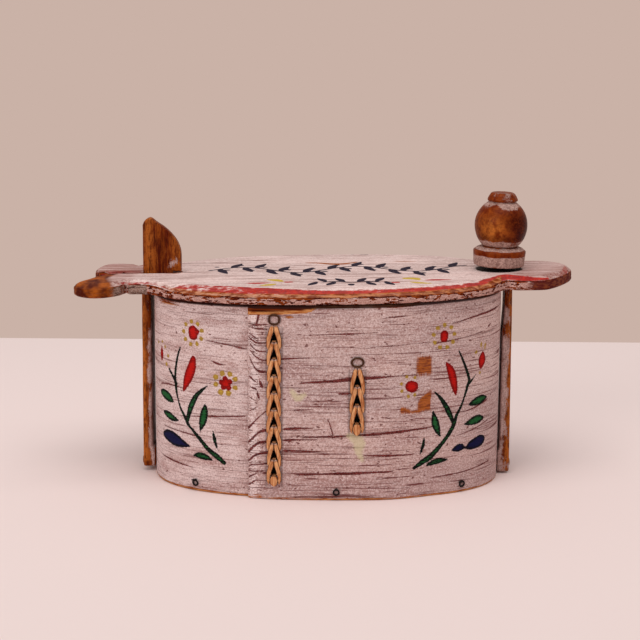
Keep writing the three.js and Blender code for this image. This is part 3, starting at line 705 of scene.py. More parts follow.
# Cracks and bare streaks along the grain
SPLITS = [
    [(7, 68.2, 0.75), (20.7, 69.4, 0.9), (30, 69.9, 0.55), (40, 70.3, 0.3), (49.5, 70, 0.15)],
    [(7, 60.6, 0.6), (12, 60.8, 0.3)], [(-14, 66.4, 0.2), (7, 68, 0.5)],
    [(7.4, 36.8, 0.3), (21.7, 37.5, 0.4), (38, 38.6, 0.4), (54.9, 39.6, 0.25), (64.6, 40.2, 0.12)],
    [(-12, 36.2, 0.15), (7.4, 36.8, 0.3)],
    [(-16, 14.6, 0.15), (7.4, 15.5, 0.4), (25.6, 16.1, 0.35), (36, 16.4, 0.12)],
    [(20.4, 25.8, 0.15), (33, 25.4, 0.3), (47.2, 25.2, 0.12)],
    [(70.7, 97.4, 0.12), (84.2, 99.7, 0.3), (105.8, 101.8, 0.55)],
    [(28.1, 102.2, 0.1), (34, 103, 0.3), (41.3, 103.4, 0.1)],
    [(-67.1, 87, 0.1), (-56, 85.8, 0.16), (-45.2, 83.8, 0.22)],
    [(-64, 75.6, 0.05), (-60.5, 74.4, 0.5), (-57.5, 74.2, 0.1)],
    [(-85.1, 41.8, 0.1), (-71.2, 43.6, 0.15), (-57.3, 44.9, 0.25), (-45.7, 46, 0.15)],
    [(-100, 33.4, 0.12), (-88, 33, 0.2), (-72, 31.6, 0.12)],
    [(-22.6, 40.5, 0.55), (-14.5, 41.1, 0.3), (-8, 41.2, 0.1)],
    [(-22.6, 34.1, 0.3), (-14.5, 34.5, 0.35), (-6, 34.6, 0.12)],
    [(-22.6, 51.1, 0.25), (-14.5, 51.4, 0.3), (-9, 51.6, 0.1)],
    [(-22.6, 28.4, 0.2), (-12, 28.2, 0.4), (-4, 28, 0.1)],
    [(-42.6, 40.2, 0.35), (-41.3, 41.6, 0.3), (-36.4, 47.2, 0.35), (-32.8, 50.1, 0.55)],
    [(-42.4, 32.2, 0.3), (-41.3, 33.4, 0.3), (-37, 38, 0.4), (-32.8, 39.5, 0.65)],
    [(-42.4, 26.6, 0.4), (-41.6, 27.7, 0.35), (-37.7, 31.7, 0.4), (-33.4, 33.1, 0.5)],
    [(-42.4, 21.8, 0.3), (-41.3, 22.6, 0.3), (-38.3, 25.3, 0.3), (-32.2, 26.9, 0.45)],
    [(-42.2, 18.6, 0.2), (-40.7, 19.5, 0.2), (-37.1, 19.7, 0.25), (-32.8, 20.5, 0.4)],
    [(-42.2, 12.4, 0.3), (-41.3, 13.1, 0.3), (-38.3, 14.5, 0.3)], [(-34, 15, 0.3), (-32.2, 15.1, 0.4)],
    [(-42.2, 8.2, 0.25), (-41.3, 8.9, 0.2), (-38.3, 10.7, 0.2), (-32.8, 10.6, 0.12)],
    [(-42.2, 98.6, 0.2), (-37, 98.2, 0.35), (-32.8, 98.6, 0.25)],
    [(-42, 96.8, 0.15), (-37, 95.9, 0.3), (-32.8, 95.9, 0.15)],
    [(-37, 103.4, 0.5), (-38.2, 98.1, 0.4)], [(-42.2, 91, 0.12), (-38.2, 88.3, 0.22), (-33.4, 88.5, 0.12)],
    [(-42, 93.4, 0.12), (-38.2, 90.8, 0.18)], [(-41.6, 87.4, 0.14), (-38.2, 84, 0.22), (-33.4, 83.5, 0.1)],
    [(-41.4, 83.6, 0.12), (-37, 79.4, 0.18), (-32.8, 78.6, 0.12)],
    [(-42, 80, 0.2), (-39.4, 74.9, 0.28), (-37, 72.6, 0.36), (-33.4, 72.4, 0.3)],
    [(-40.6, 63.2, 0.3), (-38.6, 62.4, 0.4)], [(-37.6, 60, 0.5), (-36.8, 57.6, 0.6)],
    [(-36.2, 66.4, 0.4), (-35.2, 64, 0.5)],
    [(-41.8, 57.4, 0.2), (-38.4, 55.8, 0.2)], [(-41.8, 50.2, 0.2), (-38.6, 52, 0.15)],
    [(-41.9, 69, 0.2), (-38.8, 66.6, 0.15)],
    [(0.7, 45.9, 0.2), (2.3, 41.4, 0.3), (3.5, 36.3, 0.15)], [(97.2, 92.8, 0.4), (98.6, 93.4, 0.3)],
    [(-104, 57, 0.1), (-96, 58.4, 0.18), (-84, 58, 0.1)],
    [(60, 87, 0.1), (75, 88.4, 0.16), (92, 90.6, 0.1)],
    [(66, 47.5, 0.1), (80, 46.5, 0.2), (97, 50.4, 0.12)],
    [(74, 33.2, 0.1), (86, 35.4, 0.2), (98, 38.4, 0.12)],
    [(-34, 78.6, 0.1), (-18, 80.2, 0.2), (4, 81, 0.1)],
    [(-20, 92.4, 0.1), (0, 93.6, 0.16), (26, 94.6, 0.1)],
    [(24, 86.6, 0.1), (40, 87.4, 0.2), (56, 88, 0.1)],
    [(-108, 16, 0.1), (-94, 14.8, 0.25), (-76, 13.2, 0.1)],
    [(60, 10.6, 0.1), (78, 11.6, 0.2), (100, 14, 0.1)],
]


# Side band

def steps(start, end, pitch):
    return np.linspace(start, end, max(2, int(abs(end - start) / pitch) + 1))[:-1]


def band_columns():
    """Places along the strip, from the lap's edge round to the hidden end."""
    lap = wall_run(LAP_END)
    right, left = (float(np.interp(t, TURNS, RUN)) for t in (0.12, math.pi - 0.12))
    hidden = wall_run(HIDDEN_END) + ROUND
    stops = [lap + 4.8, -22.5, 10.5, 22.5, right, left, ROUND + lap, hidden]
    pitches = (0.5, 0.75, 0.5, 0.75, 3.2, 0.75, 3)
    runs = [steps(start, end, pitch) for start, end, pitch in zip(stops, stops[1:], pitches)]
    edge = lap + np.array([0, 0.3, 0.7, 1.2, 1.8, 2.4, 3.0, 3.6, 4.2])
    return np.concatenate([edge, *runs, [hidden]]), lap


def lap_nicks(along, up):
    """Small cuts across the lap's edge."""
    cut = np.zeros_like(along)
    for z, lean, size in (
        (12, 0.8, 0.6), (22, 0.9, 0.8), (27, 0.9, 0.5), (34, 1.0, 0.8), (41, 1.1, 0.7), (57, 0.3, 0.6),
        (66, -0.6, 0.5), (71, -0.9, 0.9), (80, -0.5, 0.6), (90, -0.7, 0.5), (97, 0.2, 0.5), (102, 0.3, 0.4),
    ):
        cut += size * np.exp(-(((up - z) - along * lean) / 0.75) ** 2)
    return cut * np.exp(-along / 3.4)


# The dent that each loop presses into the wall: its rise, half width and depth
LOOP_RISE = 7.4
LOOP_HALF = 2.7
LOOP_PRESS = 2.2


def lacing_marks(place, up, on_front):
    """How far the wall is pressed in under each loop, and the painted shade beside each lacing and round its
    crown.
    """
    pit, painted_shade = np.full(up.shape, -1.0), np.zeros(up.shape)
    for x, top, foot, loops, tab in (LONG_LACING, SHORT_LACING):
        aside = np.abs(place - wall_run(x))
        for z in np.linspace(top, foot, loops)[1:]:
            rise = (up - z + 0.9) / LOOP_RISE
            wide = np.where((rise > 0) & (rise < 1), LOOP_HALF * (1 - rise), -1.0)
            pit = np.maximum(pit, np.where(on_front, np.clip(wide - aside, -1, 1), -1.0))
        length = smoothstep(up, foot - tab - 1, foot - tab) * smoothstep(-up, -top, -top + 2)
        ring = np.hypot(aside / 3.2, (up - top - 2.7) / 2.7)
        # Painted shade along each side of the chain and round the crown ring.
        near = np.maximum(bell(aside, 4.3, 0.8) * length * 0.55, bell(ring, 1.12, 0.14) * 0.7)
        painted_shade = np.maximum(painted_shade, np.where(on_front, near, 0))
    return pit, painted_shade


def band_rows():
    """Rows of (depth in the wall, share of its height, shift up), and how many lie outside."""
    rows = [(1.2, 0, 0), (0.35, 0, 0.3)]
    rows += [(0, share, 1 - 2.4 * share) for share in np.linspace(0, 1, 135)]
    rows += [(0.22, 1, -0.6), (0.6, 1, -0.18), (1.1, 1, 0), (2.3, 1, 0), (2.8, 1, -0.25), (3, 1, -0.9)]
    outer = len(rows) - 3
    rows += [(3, share, 0) for share in np.linspace(0.96, 0.04, 22)]
    rows += [(3, 0, 0.9), (2.7, 0, 0.2), (2.2, 0, 0)]
    return np.array(rows, dtype=float), outer


def wall_waves(place, along, up, outer):
    """Soft waves in the wall's outer face, and small cuts at the lap's edge."""
    waves = np.array([
        [wobble((p, z, 0), 34, 0.22) + wobble((p, z * 2.2, 7), 9, 0.07) for p in place[0]]
        for z in (0, 30, 60, 90, 120)
    ])
    levels = np.clip(up / 30, 0, 3.999)
    low = levels.astype(int)
    column = np.broadcast_to(np.arange(up.shape[1]), up.shape)
    wave = waves[low, column] * (1 - levels + low) + waves[low + 1, column] * (levels - low)
    fade = smoothstep(up, 0, 8) * smoothstep(-up, -BAND_HEIGHT, -BAND_HEIGHT + 8) * smoothstep(along, 0, 8)
    return np.where(outer, wave * fade - np.minimum(lap_nicks(along, up), 0.9), 0)


def wall_paint(place, up, front):
    """Marks of the painted sprigs and of the splits on the front."""
    places = np.stack([place, up], axis=-1).reshape(-1, 2)
    marks = painted(places, front, SPRIGS)
    x, z = places[front].T
    for left, foot, right, top in OCHRE_PATCHES:
        inside = np.minimum.reduce([x - left, right - x, z - foot, top - z])
        marks["ochre"][front] = np.maximum(marks["ochre"][front], inside)
    x, z = places.T
    marks["ochre"] -= 3.4 * smoothstep(z, 53, 60) * (z < 64) * (1 - smoothstep(x, 53, 57))
    split, pull = np.full(len(places), 3.0), np.full(len(places), -1.0)
    split[front], pull[front] = line_marks(places[front], SPLITS)
    return {**marks, "split": split, "split_pull": pull}


def wall_wear(place, along, up, below_rim, outer, chain_shade):
    """Marks of bare wood at the rim, foot and lap, of chalk at the lap, and of painted shade in the lap's
    corner, under the lid's edge and beside the lacings.
    """
    lap = wall_run(LAP_END)
    drop = np.interp(place, [-42, -15, -9, -4], [5.3, 4.4, 3.5, 0])
    chip = bell(place, -20.5, 3.4) * bell(below_rim, 6.3, 1.1) * (along < 60)
    edge = np.maximum.reduce([
        0.62 * (1 - smoothstep(below_rim, 0.8, 2.6)),
        0.95 * smoothstep(drop - below_rim, -0.4, 0.4) * (along < 60),
        0.75 * chip,
        0.66 * (1 - smoothstep(up, 0.6, 2.6)),
        0.6 * bell(place, -37, 5) * (1 - smoothstep(up, 2, 5)) * (along < 30),
        0.55 * bell(place, -96, 16) * bell(below_rim, 3, 3),
    ])
    # Painted shade in the corner where the lap's edge steps down, and a dark line of painted shadow under the
    # lid's edge.
    lap_corner_shade = (0.75 * bell(place, lap - 0.9, 1.5) + 0.16 * bell(place, lap - 4, 2.6)) * (along > ROUND)
    painted_shade = np.maximum.reduce([lap_corner_shade, 1.2 * smoothstep(-below_rim, -2.1, -1.1), chain_shade])
    return {
        "edge": edge * outer,
        "chalk": 0.68 * bell(along, 3.6, 3.6) * outer,
        "painted_shade": painted_shade * outer,
        "fresh": np.maximum(smoothstep(below_rim - drop, -2.1, -1.5), chip),
        "inside": np.broadcast_to(~outer, up.shape),
    }


def add_band():
    columns, lap = band_columns()
    turns = np.interp(columns, RUN, TURNS)
    lift = strip_lift(turns)
    rows, outer_rows = band_rows()
    inset, share, offset = (column[:, None] for column in rows.T)
    outer = np.arange(len(rows))[:, None] < outer_rows
    up = share * rim_height(oval_points(BAND, turns, lift)[None, :, 0]) + offset
    place = np.where(columns > ROUND + lap - 90, columns - ROUND, columns)
    place, along = (np.broadcast_to(values, up.shape) for values in (place, columns - lap))

    pit, chain_shade = lacing_marks(place, up, outer & (along < 200))
    round_over = np.sqrt(1 - np.clip(1 - along / LAP_BEVEL, 0, 1) ** 2)
    skin = LAP_EDGE + (BAND_WALL - LAP_EDGE) * round_over
    outward = lift - BAND_WALL + skin * (1 - inset / BAND_WALL)
    outward += wall_waves(place, along, up, outer) - LOOP_PRESS * smoothstep(pit, -0.2, 0.4)
    sway = np.array([wobble((0, z, 3), 7, 0.5) + wobble((0, z, 9), 2.5, 0.25) for z in up[:, 0]])
    swayed = columns + sway[:, None] * np.exp(-along / 4)
    x, y = np.moveaxis(oval_points(BAND, np.interp(swayed, RUN, TURNS), outward), -1, 0)
    points = np.stack([x, y, np.maximum(up, 0)], axis=-1).reshape(-1, 3)
    count, width = up.shape
    faces = [face[::-1] for face in grid_faces(count, width, wrap_rows=True)]
    faces.append([r * width for r in range(count)])
    faces.append([r * width + width - 1 for r in reversed(range(count))])

    marks = wall_paint(place, up, (outer & (np.abs(place) < 128) & (along < ROUND)).ravel())
    wear = wall_wear(place, along, up, rim_height(x) - up, outer, chain_shade)
    wear["pit"] = smoothstep(pit, -0.1, 0.5)
    marks.update((label, values.ravel()) for label, values in wear.items())
    marks["strip"] = np.stack([place, up, outward], axis=-1).reshape(-1, 3)
    add_piece("side_band", points, faces, BAND_FINISH, "box", marks)


add_band()


# Plates and turned pieces

def loop_insets(loop, inset):
    """A closed outline, running anticlockwise, drawn in by an amount at each point."""
    loop = np.asarray(loop)
    ahead, behind = np.roll(loop, -1, axis=0) - loop, loop - np.roll(loop, 1, axis=0)
    ahead /= np.linalg.norm(ahead, axis=1)[:, None]
    behind /= np.linalg.norm(behind, axis=1)[:, None]
    along = ahead + behind
    along /= np.linalg.norm(along, axis=1)[:, None]
    stretch = 1 / np.maximum((along * ahead).sum(1), 0.6)
    normal = np.stack([-along[:, 1], along[:, 0]], axis=1)
    return loop + normal * (np.asarray(inset) * stretch)[:, None]


def even_loop(loop, pitch):
    """The same outline with points about one pitch apart, its corners kept."""
    run = []
    for start, end in zip(loop, [*loop[1:], loop[0]]):
        count = max(1, int(round(math.dist(start, end) / pitch)))
        run += [(np.asarray(start) * (count - k) + np.asarray(end) * k) / count for k in range(count)]
    return np.array(run)


def cap(loops, pitch):
    """Points and triangles that fill an outline, but not the holes listed after it."""
    loops = [np.asarray(ring) for ring in loops]

    def filled(places):
        inside = inside_loop(places, loops[0])
        for hole in loops[1:]:
            inside &= ~inside_loop(places, hole)
        return inside

    points = [Vector(p) for ring in loops for p in ring]
    edges, start = [], 0
    for ring in loops:
        edges += [(start + i, start + (i + 1) % len(ring)) for i in range(len(ring))]
        start += len(ring)
    if pitch:
        low, high = loops[0].min(axis=0), loops[0].max(axis=0)
        xs, ys = np.arange(low[0], high[0], pitch), np.arange(low[1], high[1], pitch)
        grid = np.stack(np.meshgrid(xs, ys), axis=-1).reshape(-1, 2)
        points += [Vector(p) for p in grid[filled(grid) & (gap_to_loops(grid, loops) > pitch * 0.7)]]
    found, _, faces, origin, _, _ = geometry.delaunay_2d_cdt(points, edges, [], 0, 1e-6, True)
    order = {}
    for i, ids in enumerate(origin):
        order[i] = ids[0] if ids else len(points)
        if not ids:
            points.append(found[i])
    centres = np.array([sum((found[i] for i in face), Vector((0, 0))) / len(face) for face in faces])
    triangles = [[order[i] for i in face] for face, kept in zip(faces, filled(centres)) if kept]
    return [tuple(p) for p in points[start:]], triangles


def inside_loop(places, loop):
    """Which places lie inside a closed outline."""
    inside = np.zeros(len(places), dtype=bool)
    for (x0, y0), (x1, y1) in zip(loop, np.roll(loop, -1, axis=0)):
        crosses = (y0 > places[:, 1]) != (y1 > places[:, 1])
        at = x0 + (places[:, 1] - y0) * (x1 - x0) / ((y1 - y0) or 1e-9)
        inside ^= crosses & (places[:, 0] < at)
    return inside


def gap_to_loops(places, loops):
    """The distance from each place to the nearest outline."""
    gap = np.full(len(places), 1e9)
    for loop in loops:
        for start, end in zip(loop, np.roll(loop, -1, axis=0)):
            along = end - start
            share = np.clip(((places - start) @ along) / max(along @ along, 1e-9), 0, 1)
            gap = np.minimum(gap, np.hypot(*(places - start - share[:, None] * along).T))
    return gap


def plate(loop, rings, pitch=0.0, hole=()):
    """Rings of (height, inset) round an outline, capped at both ends round a hole."""
    count = len(loop)
    points, faces = [], grid_faces(len(rings), count, wrap_columns=True)
    for height, inset in rings:
        ring = loop_insets(loop, np.broadcast_to(inset, count))
        points += [(x, y, z) for (x, y), z in zip(ring, np.broadcast_to(height, count))]
    starts = []
    for ring, turned_over in ((0, True), (len(rings) - 1, False)):
        height = float(np.max(rings[ring][0]))
        own = list(range(ring * count, (ring + 1) * count))
        loops = [[points[i][:2] for i in own], *([hole] if hole else [])]
        extra, triangles = cap(loops, 0 if turned_over else pitch)
        starts.append(len(points))
        points += [(x, y, height) for x, y in [*hole, *extra]]
        ids = own + list(range(starts[-1], len(points)))
        for triangle in triangles:
            corners = [ids[i] for i in triangle]
            faces.append(corners[::-1] if turned_over else corners)
    lower, upper = starts
    for a in range(len(hole)):
        b = (a + 1) % len(hole)
        faces.append((lower + b, lower + a, upper + a, upper + b))
    return points, faces


def rounding(low, high, radius, steps_round):
    """Rings for a plate with rounded rims."""
    arc = [math.pi / 2 * i / steps_round for i in range(steps_round + 1)]
    rings = [(low + radius * (1 - math.sin(t)), radius * (1 - math.cos(t))) for t in reversed(arc)]
    return rings + [(high - radius * (1 - math.sin(t)), radius * (1 - math.cos(t))) for t in arc]


def turned(profile, around):
    """A piece turned about Z from (radius, height) pairs."""
    turns = [2 * math.pi * i / around for i in range(around)]
    points = [(r * math.cos(t), r * math.sin(t), height) for r, height in profile for t in turns]
    return points, closed_tube(len(profile), around)


def tube(path, sizes, around, out=(0, -1, 0)):
    """A rounded strand along a path; sizes are (half width, half thickness)."""
    points = []
    for i, (point, (wide, thick)) in enumerate(zip(path, sizes)):
        ahead = Vector(path[min(i + 1, len(path) - 1)]) - Vector(path[max(i - 1, 0)])
        ahead.normalize()
        side = ahead.cross(Vector(out)).normalized()
        up = side.cross(ahead).normalized()
        for k in range(around):
            turn = 2 * math.pi * k / around
            points.append(Vector(point) + side * wide * math.cos(turn) + up * thick * math.sin(turn))
    return points, closed_tube(len(path), around)


# Lid

# Each prong's reach, half width, and half width at its neck; the front one is 0.6 shorter than in the solids
FRONT_PRONG = (43.2, 39.5, 27)
BACK_PRONG = (36.8, 35, 31)
NECK_JOIN = 8
FRONT_LOBE = [
    (0.63, 0), (0.79, 0.16), (0.9, 0.36), (0.97, 0.51), (1, 0.65), (0.96, 0.81),
    (0.87, 0.93), (0.75, 1), (0.6, 0.98), (0.47, 0.83), (0.4, 0.72),
]
BACK_LOBE = [
    (0.89, 0), (0.96, 0.16), (1, 0.46), (0.985, 0.7),
    (0.9, 0.91), (0.74, 1), (0.58, 0.97), (0.46, 0.9),
]
# The tongue is 1.5 longer than in the solids
TONGUE_REACH = 39.7
TONGUE_NICK = 2.6
TONGUE = [
    (0.03, -0.93), (0.16, -1), (0.4, -1), (0.56, -0.95), (0.7, -0.72),
    (0.82, -0.44), (0.92, -0.14), (0.985, 0.14), (1, 0.36), (0.965, 0.6),
    (0.88, 0.82), (0.74, 1), (0.5, 1.11), (0.2, 1.09), (0.03, 0.97),
]


def prong_outline(shares, reach, half, neck_half):
    """Half of the fork on the front, from the slot's mouth to the oval."""
    def along(share):
        return -BAND[0] + 2 - (reach + 2) * share

    path = [(along(run), -SLOT_HALF - (half - SLOT_HALF) * across, 0) for run, across in shares]
    meet = -LID[0] * (1 - (neck_half / LID[1]) ** LID[2]) ** (1 / LID[2])
    on_oval = oval_points(LID, front_turn(LID, meet + NECK_JOIN))
    join = []
    for t in np.linspace(0, 1, 9):
        start, middle, end = (1 - t) ** 2, 2 * t * (1 - t), t * t
        join.append((
            start * (meet - NECK_JOIN) + middle * meet + end * on_oval[0],
            (start + middle) * -neck_half + end * on_oval[1],
        ))
    nick = [(along(share), -neck_half + cut)
            for share, cut in ((0.376, 0.6), (0.355, 3.4), (0.336, 1.0), (0.31, 0))]
    return [(p[0], p[1]) for p in smooth_path(path, 5)] + nick + join, meet + NECK_JOIN


def flipped(points):
    return [(x, -y) for x, y in reversed(points)]


def lid_outline():
    front, front_x = prong_outline(FRONT_LOBE, *FRONT_PRONG)
    back, back_x = prong_outline(BACK_LOBE, *BACK_PRONG)
    shoulder_turn = -math.asin(float(signed_power(TONGUE_HALF / LID[1], LID[2] / 2)))
    shoulder = tuple(oval_points(LID, shoulder_turn))
    start = BAND[0] + 2
    tongue = smooth_path([(start + TONGUE_REACH * run, TONGUE_HALF * across, 0) for run, across in TONGUE], 5)
    root = [shoulder, (start, TONGUE_NICK - TONGUE_HALF)]
    right = root + [(p[0], p[1]) for p in tongue] + flipped(root)

    def oval_run(x):
        turns = np.linspace(front_turn(LID, x), shoulder_turn, 72)[1:-1]
        return [tuple(p) for p in oval_points(LID, turns)]

    slot = [(SLOT_END - SLOT_HALF + SLOT_HALF * math.cos(t), SLOT_HALF * math.sin(t))
            for t in np.linspace(math.pi / 2, -math.pi / 2, 13)]
    outline = front + oval_run(front_x) + right + flipped(oval_run(back_x))
    return even_loop(outline + flipped(back) + slot, 2.2)


NARROW_DROP = 2.4


def bevel_ease(loop):
    """The bevel's width along the outline, as a share of its full width."""
    x, y = np.abs(loop[:, 0]), np.abs(loop[:, 1])
    ease = 1 - 0.6 * smoothstep(x, BAND[0] - 14, BAND[0])
    off_slot = np.where(loop[:, 0] < SLOT_END, y - SLOT_HALF, 14)
    return 0.07 + (ease - 0.07) * np.clip(off_slot / 14, 0, 1)


LID_MARKS = {
    "red": [
        [(-45.6, -38.0, 0.2), (-38.5, -38.6, 2.0), (-31, -38.0, 0.2)],
        [(-22.5, -36.6, 1.7), (-20.5, -36.6, 1.7)],
        [(53, -35.0, 0.2), (60, -33.6, 2.2), (70, -33.0, 0.2)], [(36.5, -40, 1.6), (38.5, -40, 1.6)],
        [(-108, 4.3, 0.7), (-119, 4.6, 1.3), (-128, 5.2, 0.9)],
        [(131, -14, 0.2), (134, -8, 1.0), (136, -1, 1.4), (136.4, 5, 0.7), (135, 9, 0.2)],
    ],
    "yellow": [
        [(-33, -28.5, 1.0), (-28.6, -30.5, 2.8), (-25.4, -34.4, 1.2)],
        [(-37, -46.0, 0.6), (-32.4, -44.4, 2.4), (-28.4, -42.2, 0.8)],
        [(43.6, -28.5, 2.2), (48.5, -29.6, 3.0), (50.2, -33.4, 1.0)],
        [(46, -39.6, 0.9), (51, -42.6, 2.0), (57, -44.6, 0.6)],
    ],
    "ochre": [
        [(-13, 26, 0.6), (-6, 25, 1.3), (3, 21, 2.0), (10, 21.5, 1.7), (17, 27, 0.9)],
        [(37, 28, 0.3), (45, 28.4, 0.8), (54, 28, 0.3)],
    ],
}


def vine_marks():
    """A running stem with leaves on both sides, and a small spray in front of it."""
    def stem(x):
        return 4 + 8.5 * math.sin(x / 10.5)

    strokes = [[(x, stem(x), 1.0) for x in range(-68, 81, 4)]]
    for i, x in enumerate(range(-62, 76, 7)):
        side = 1 if i % 2 else -1
        y = stem(x)
        strokes.append([(x, y, 0.8), (x + 1.6, y + side * 7, 2.6), (x + 4.8, y + side * 15, 0.5)])
        strokes.append([(x - 2.4, y - side * 7.5, 1.6)])
    for side in (-1, 1):
        strokes.append([(13, -38, 0.7), (13 + side * 8, -35, 1.0), (13 + side * 16, -38, 0.7)])
        for x, reach in ((4, 1), (9, -1), (14, 1), (19, -1)):
            strokes.append([
                (13 + side * (x + run), -36.5 + reach * rise, wide)
                for run, rise, wide in ((0, 0, 0.7), (2, 6, 2.2), (4.6, 11, 0.4))
            ])
    strokes.append([(13, -44, 2.0), (13, -47, 1.5)])
    return strokes


def lid_frame():
    """The lid's own frame: resting on the sloping rim."""
    place = Matrix.Translation((0, 0, BAND_HEIGHT + FIT))
    return place @ Matrix.Rotation(-math.atan(SLOPE), 4, "Y")


def lid_rings(loop):
    """Rings of (height, inset) up the lid's side and over its bevel, and each ring's edge mark."""
    ease = bevel_ease(loop)
    x, y = loop.T
    soft = smoothstep(-x, 117, 126) * np.where(y < 0, 1.0, 0.5) * np.clip((np.abs(y) - SLOT_HALF) / 8, 0, 1)
    ripple = np.array([wobble((a, b, 5), 16, 0.35) + wobble((a, b, 8), 5, 0.2) for a, b in loop])
    drop = NARROW_DROP + (BEVEL_DROP - NARROW_DROP) * smoothstep(ease, 0.3, 1)
    arris = LID_THICKNESS - drop + ripple - 0.25 * soft
    rings, edges = [], []
    for share, inset in ((0, 1.2), (0.06, 0.5), (0.2, 0.04), (0.4, 0), (0.62, 0), (0.82, 0), (0.94, 0.04)):
        rings.append((arris * share, inset + soft * max(0, 1.3 - share * 5)))
        edges.append(arris * (share - 1))
    for share in (0, 0.05, 0.13, 0.24, 0.36, 0.5, 0.64, 0.78, 0.9, 1, 1.1):
        rise = min(1, share * (1.14 - 0.14 * share)) * (1 - soft)
        rise = rise + math.sin(min(1, share) * math.pi / 2) * soft
        height = arris + (LID_THICKNESS - arris) * rise if share < 1 else LID_THICKNESS
        run = 0.16 + (BEVEL_RUN * ease + 1.8 * soft) * share
        rings.append((height, run))
        edges.append(run)
    return rings, np.concatenate([np.broadcast_to(e, len(loop)) for e in edges])


def lid_marks(x, y, edge):
    """Where the lid is worn, polished and greyed, where shade and shadow are painted next to the posts and
    under the knob, and where its red border runs.
    """
    front, rim, side_wall = y < 0, np.maximum(edge, 0), edge < -0.3
    nick, stub = bell(x, -112.6, 0.9) * front, bell(x, -115, 1.6)
    neck = smoothstep(-x, 99, 103) * side_wall * front
    lobe = smoothstep(-x - 0.35 * rim, 114.5, 125) * front
    tip = smoothstep(x, 103, 121) * (edge < 0.3)
    behind = smoothstep(-x, 98, 106) * (y > SLOT_HALF)
    tongue = smoothstep(x, 99, 112) * (0.72 + 0.28 * smoothstep(-rim, -9, -2))
    lobe_root = 0.75 * smoothstep(-x, 106, 114) * front
    back_prong = 0.5 * smoothstep(-x, 124, 131) * ~front * (edge < 1.2)
    slot_side = (np.abs(y - SLOT_HALF) < 1.4) & (edge < 0.3) & (x < -90)
    near_slot = smoothstep(-np.abs(y), -16, -11) * smoothstep(-x, 74, 80)
    places = [-118, -96, -87, -80, -53, -30, -10, 6, 55, 92, 112, 126]
    stripe = np.interp(x, places, [1.4, 1.7, 2.4, 6.6, 11.4, 8, 6.3, 5.9, 6.5, 6.0, 3.0, 2.2])
    stripe -= 9 * np.maximum.reduce([smoothstep(-x, 117, 121), near_slot, smoothstep(x, 123, 127)])
    stripe -= (6 * (smoothstep(-x, 96, 104) + smoothstep(x, 96, 100)) + 2.8) * ~front
    apron = 0.36 * smoothstep(x, -98, -80) + 0.3 * smoothstep(x, -20, 30)
    apron -= 0.9 * smoothstep(x, 95, 99) + 0.3 * smoothstep(-x, 100, 106)
    return {
        "polished": np.maximum(lobe * 1.1, tip),
        "ruddy": smoothstep(x, 100, 104),
        "bare": back_prong + (0.22 * smoothstep(-x, 30, 80) + stub * front) * side_wall - 1.2 * nick,
        "grey": neck * (1 - smoothstep(-x, 120, 124)) * (1 - nick) - 0.5 * stub,
        "dusk_shade": np.maximum.reduce([behind, tongue, lobe_root]) * (edge > -0.3),
        "apron": apron,
        "slot_red": np.where(slot_side, 1.0 - smoothstep(-x, 128, 132), 0),
        "knob_shadow": 1 - smoothstep(np.hypot(x - NECK_X, y), 12.6, 14.0),
        "stripe": stripe,
        "stripe_start": np.interp(x, [-104, -92, -50, 88, 98], [0.3, 1.0, 2.3, 2.3, 0.3]),
        "stripe_worn": np.interp(
            x, [-110, -70, -40, 0, 60, 90, 105], [0.6, 0.35, 0.15, -0.1, 0.0, -0.2, -0.4]),
    }


def add_lid():
    loop = lid_outline()
    rings, edge = lid_rings(loop)
    walls = len(edge)
    hole = [(NECK_X + NECK_HOLE * math.cos(t), NECK_HOLE * math.sin(t))
            for t in np.linspace(0, 2 * math.pi, 33)[:-1]]
    points, faces = plate(loop, rings, 1.3, hole)
    points = np.array(points)
    edge = np.concatenate([edge, gap_to_loops(points[walls:, :2], [loop])])
    under = (np.arange(len(points)) >= walls) & (points[:, 2] < 1)
    edge = np.where(under, -6.0, edge)

    rough = np.array([wobble(p, 5.5, 0.36) + wobble(p, 1.8, 0.2) for p in points[:walls]])
    outward = np.tile(loop - loop_insets(loop, np.full(len(loop), 1.0)), (len(rings), 1))
    chip = np.where((edge[:walls] > -4.2) & (edge[:walls] < 1.2), rough - 0.2, 0)
    points[:walls, :2] += outward * chip[:, None]
    wavy = np.array([wobble((x, y * 2, 0), 38, 0.35) for x, y, _ in points])
    points[:, 2] += np.where(edge > 1, np.minimum(wavy, 0.1), 0)
    x, y = points[:, :2].T
    points[:, 2] *= 1 - 0.03 * smoothstep(-x, 118, 140) * (y < 0)
    marks = {"edge": edge, "under": under, "plan": points, **lid_marks(x, y, edge)}
    marks.update(painted(points[:, :2], edge > 0, {**LID_MARKS, "navy": vine_marks()}))
    add_piece("lid", moved(points, lid_frame()), faces, LID_FINISH, "lid", marks)


add_lid()


# Base board

def add_board():
    turns = np.linspace(front_turn(BAND, HIDDEN_END + FIT), HIDDEN_TURN + 2 * math.pi, 220)
    loop = oval_points(BAND, turns, strip_lift(turns) - BAND_WALL - FIT)
    points, faces = plate(loop, rounding(0, BOARD_HEIGHT, 0.5, 2))
    grain = [(p[1], p[2], p[0]) for p in points]
    add_piece("base_board", points, faces, BOARD_FINISH, "box", {"grain": grain})


add_board()


# Posts

# Each leg's gap to the band, and its thickness at the top and at the foot
LEFT_LEG = (2.3, 4.8, 5.2)
RIGHT_LEG = (1.3, 5.0, 5.9)
LEG_HALF = 8


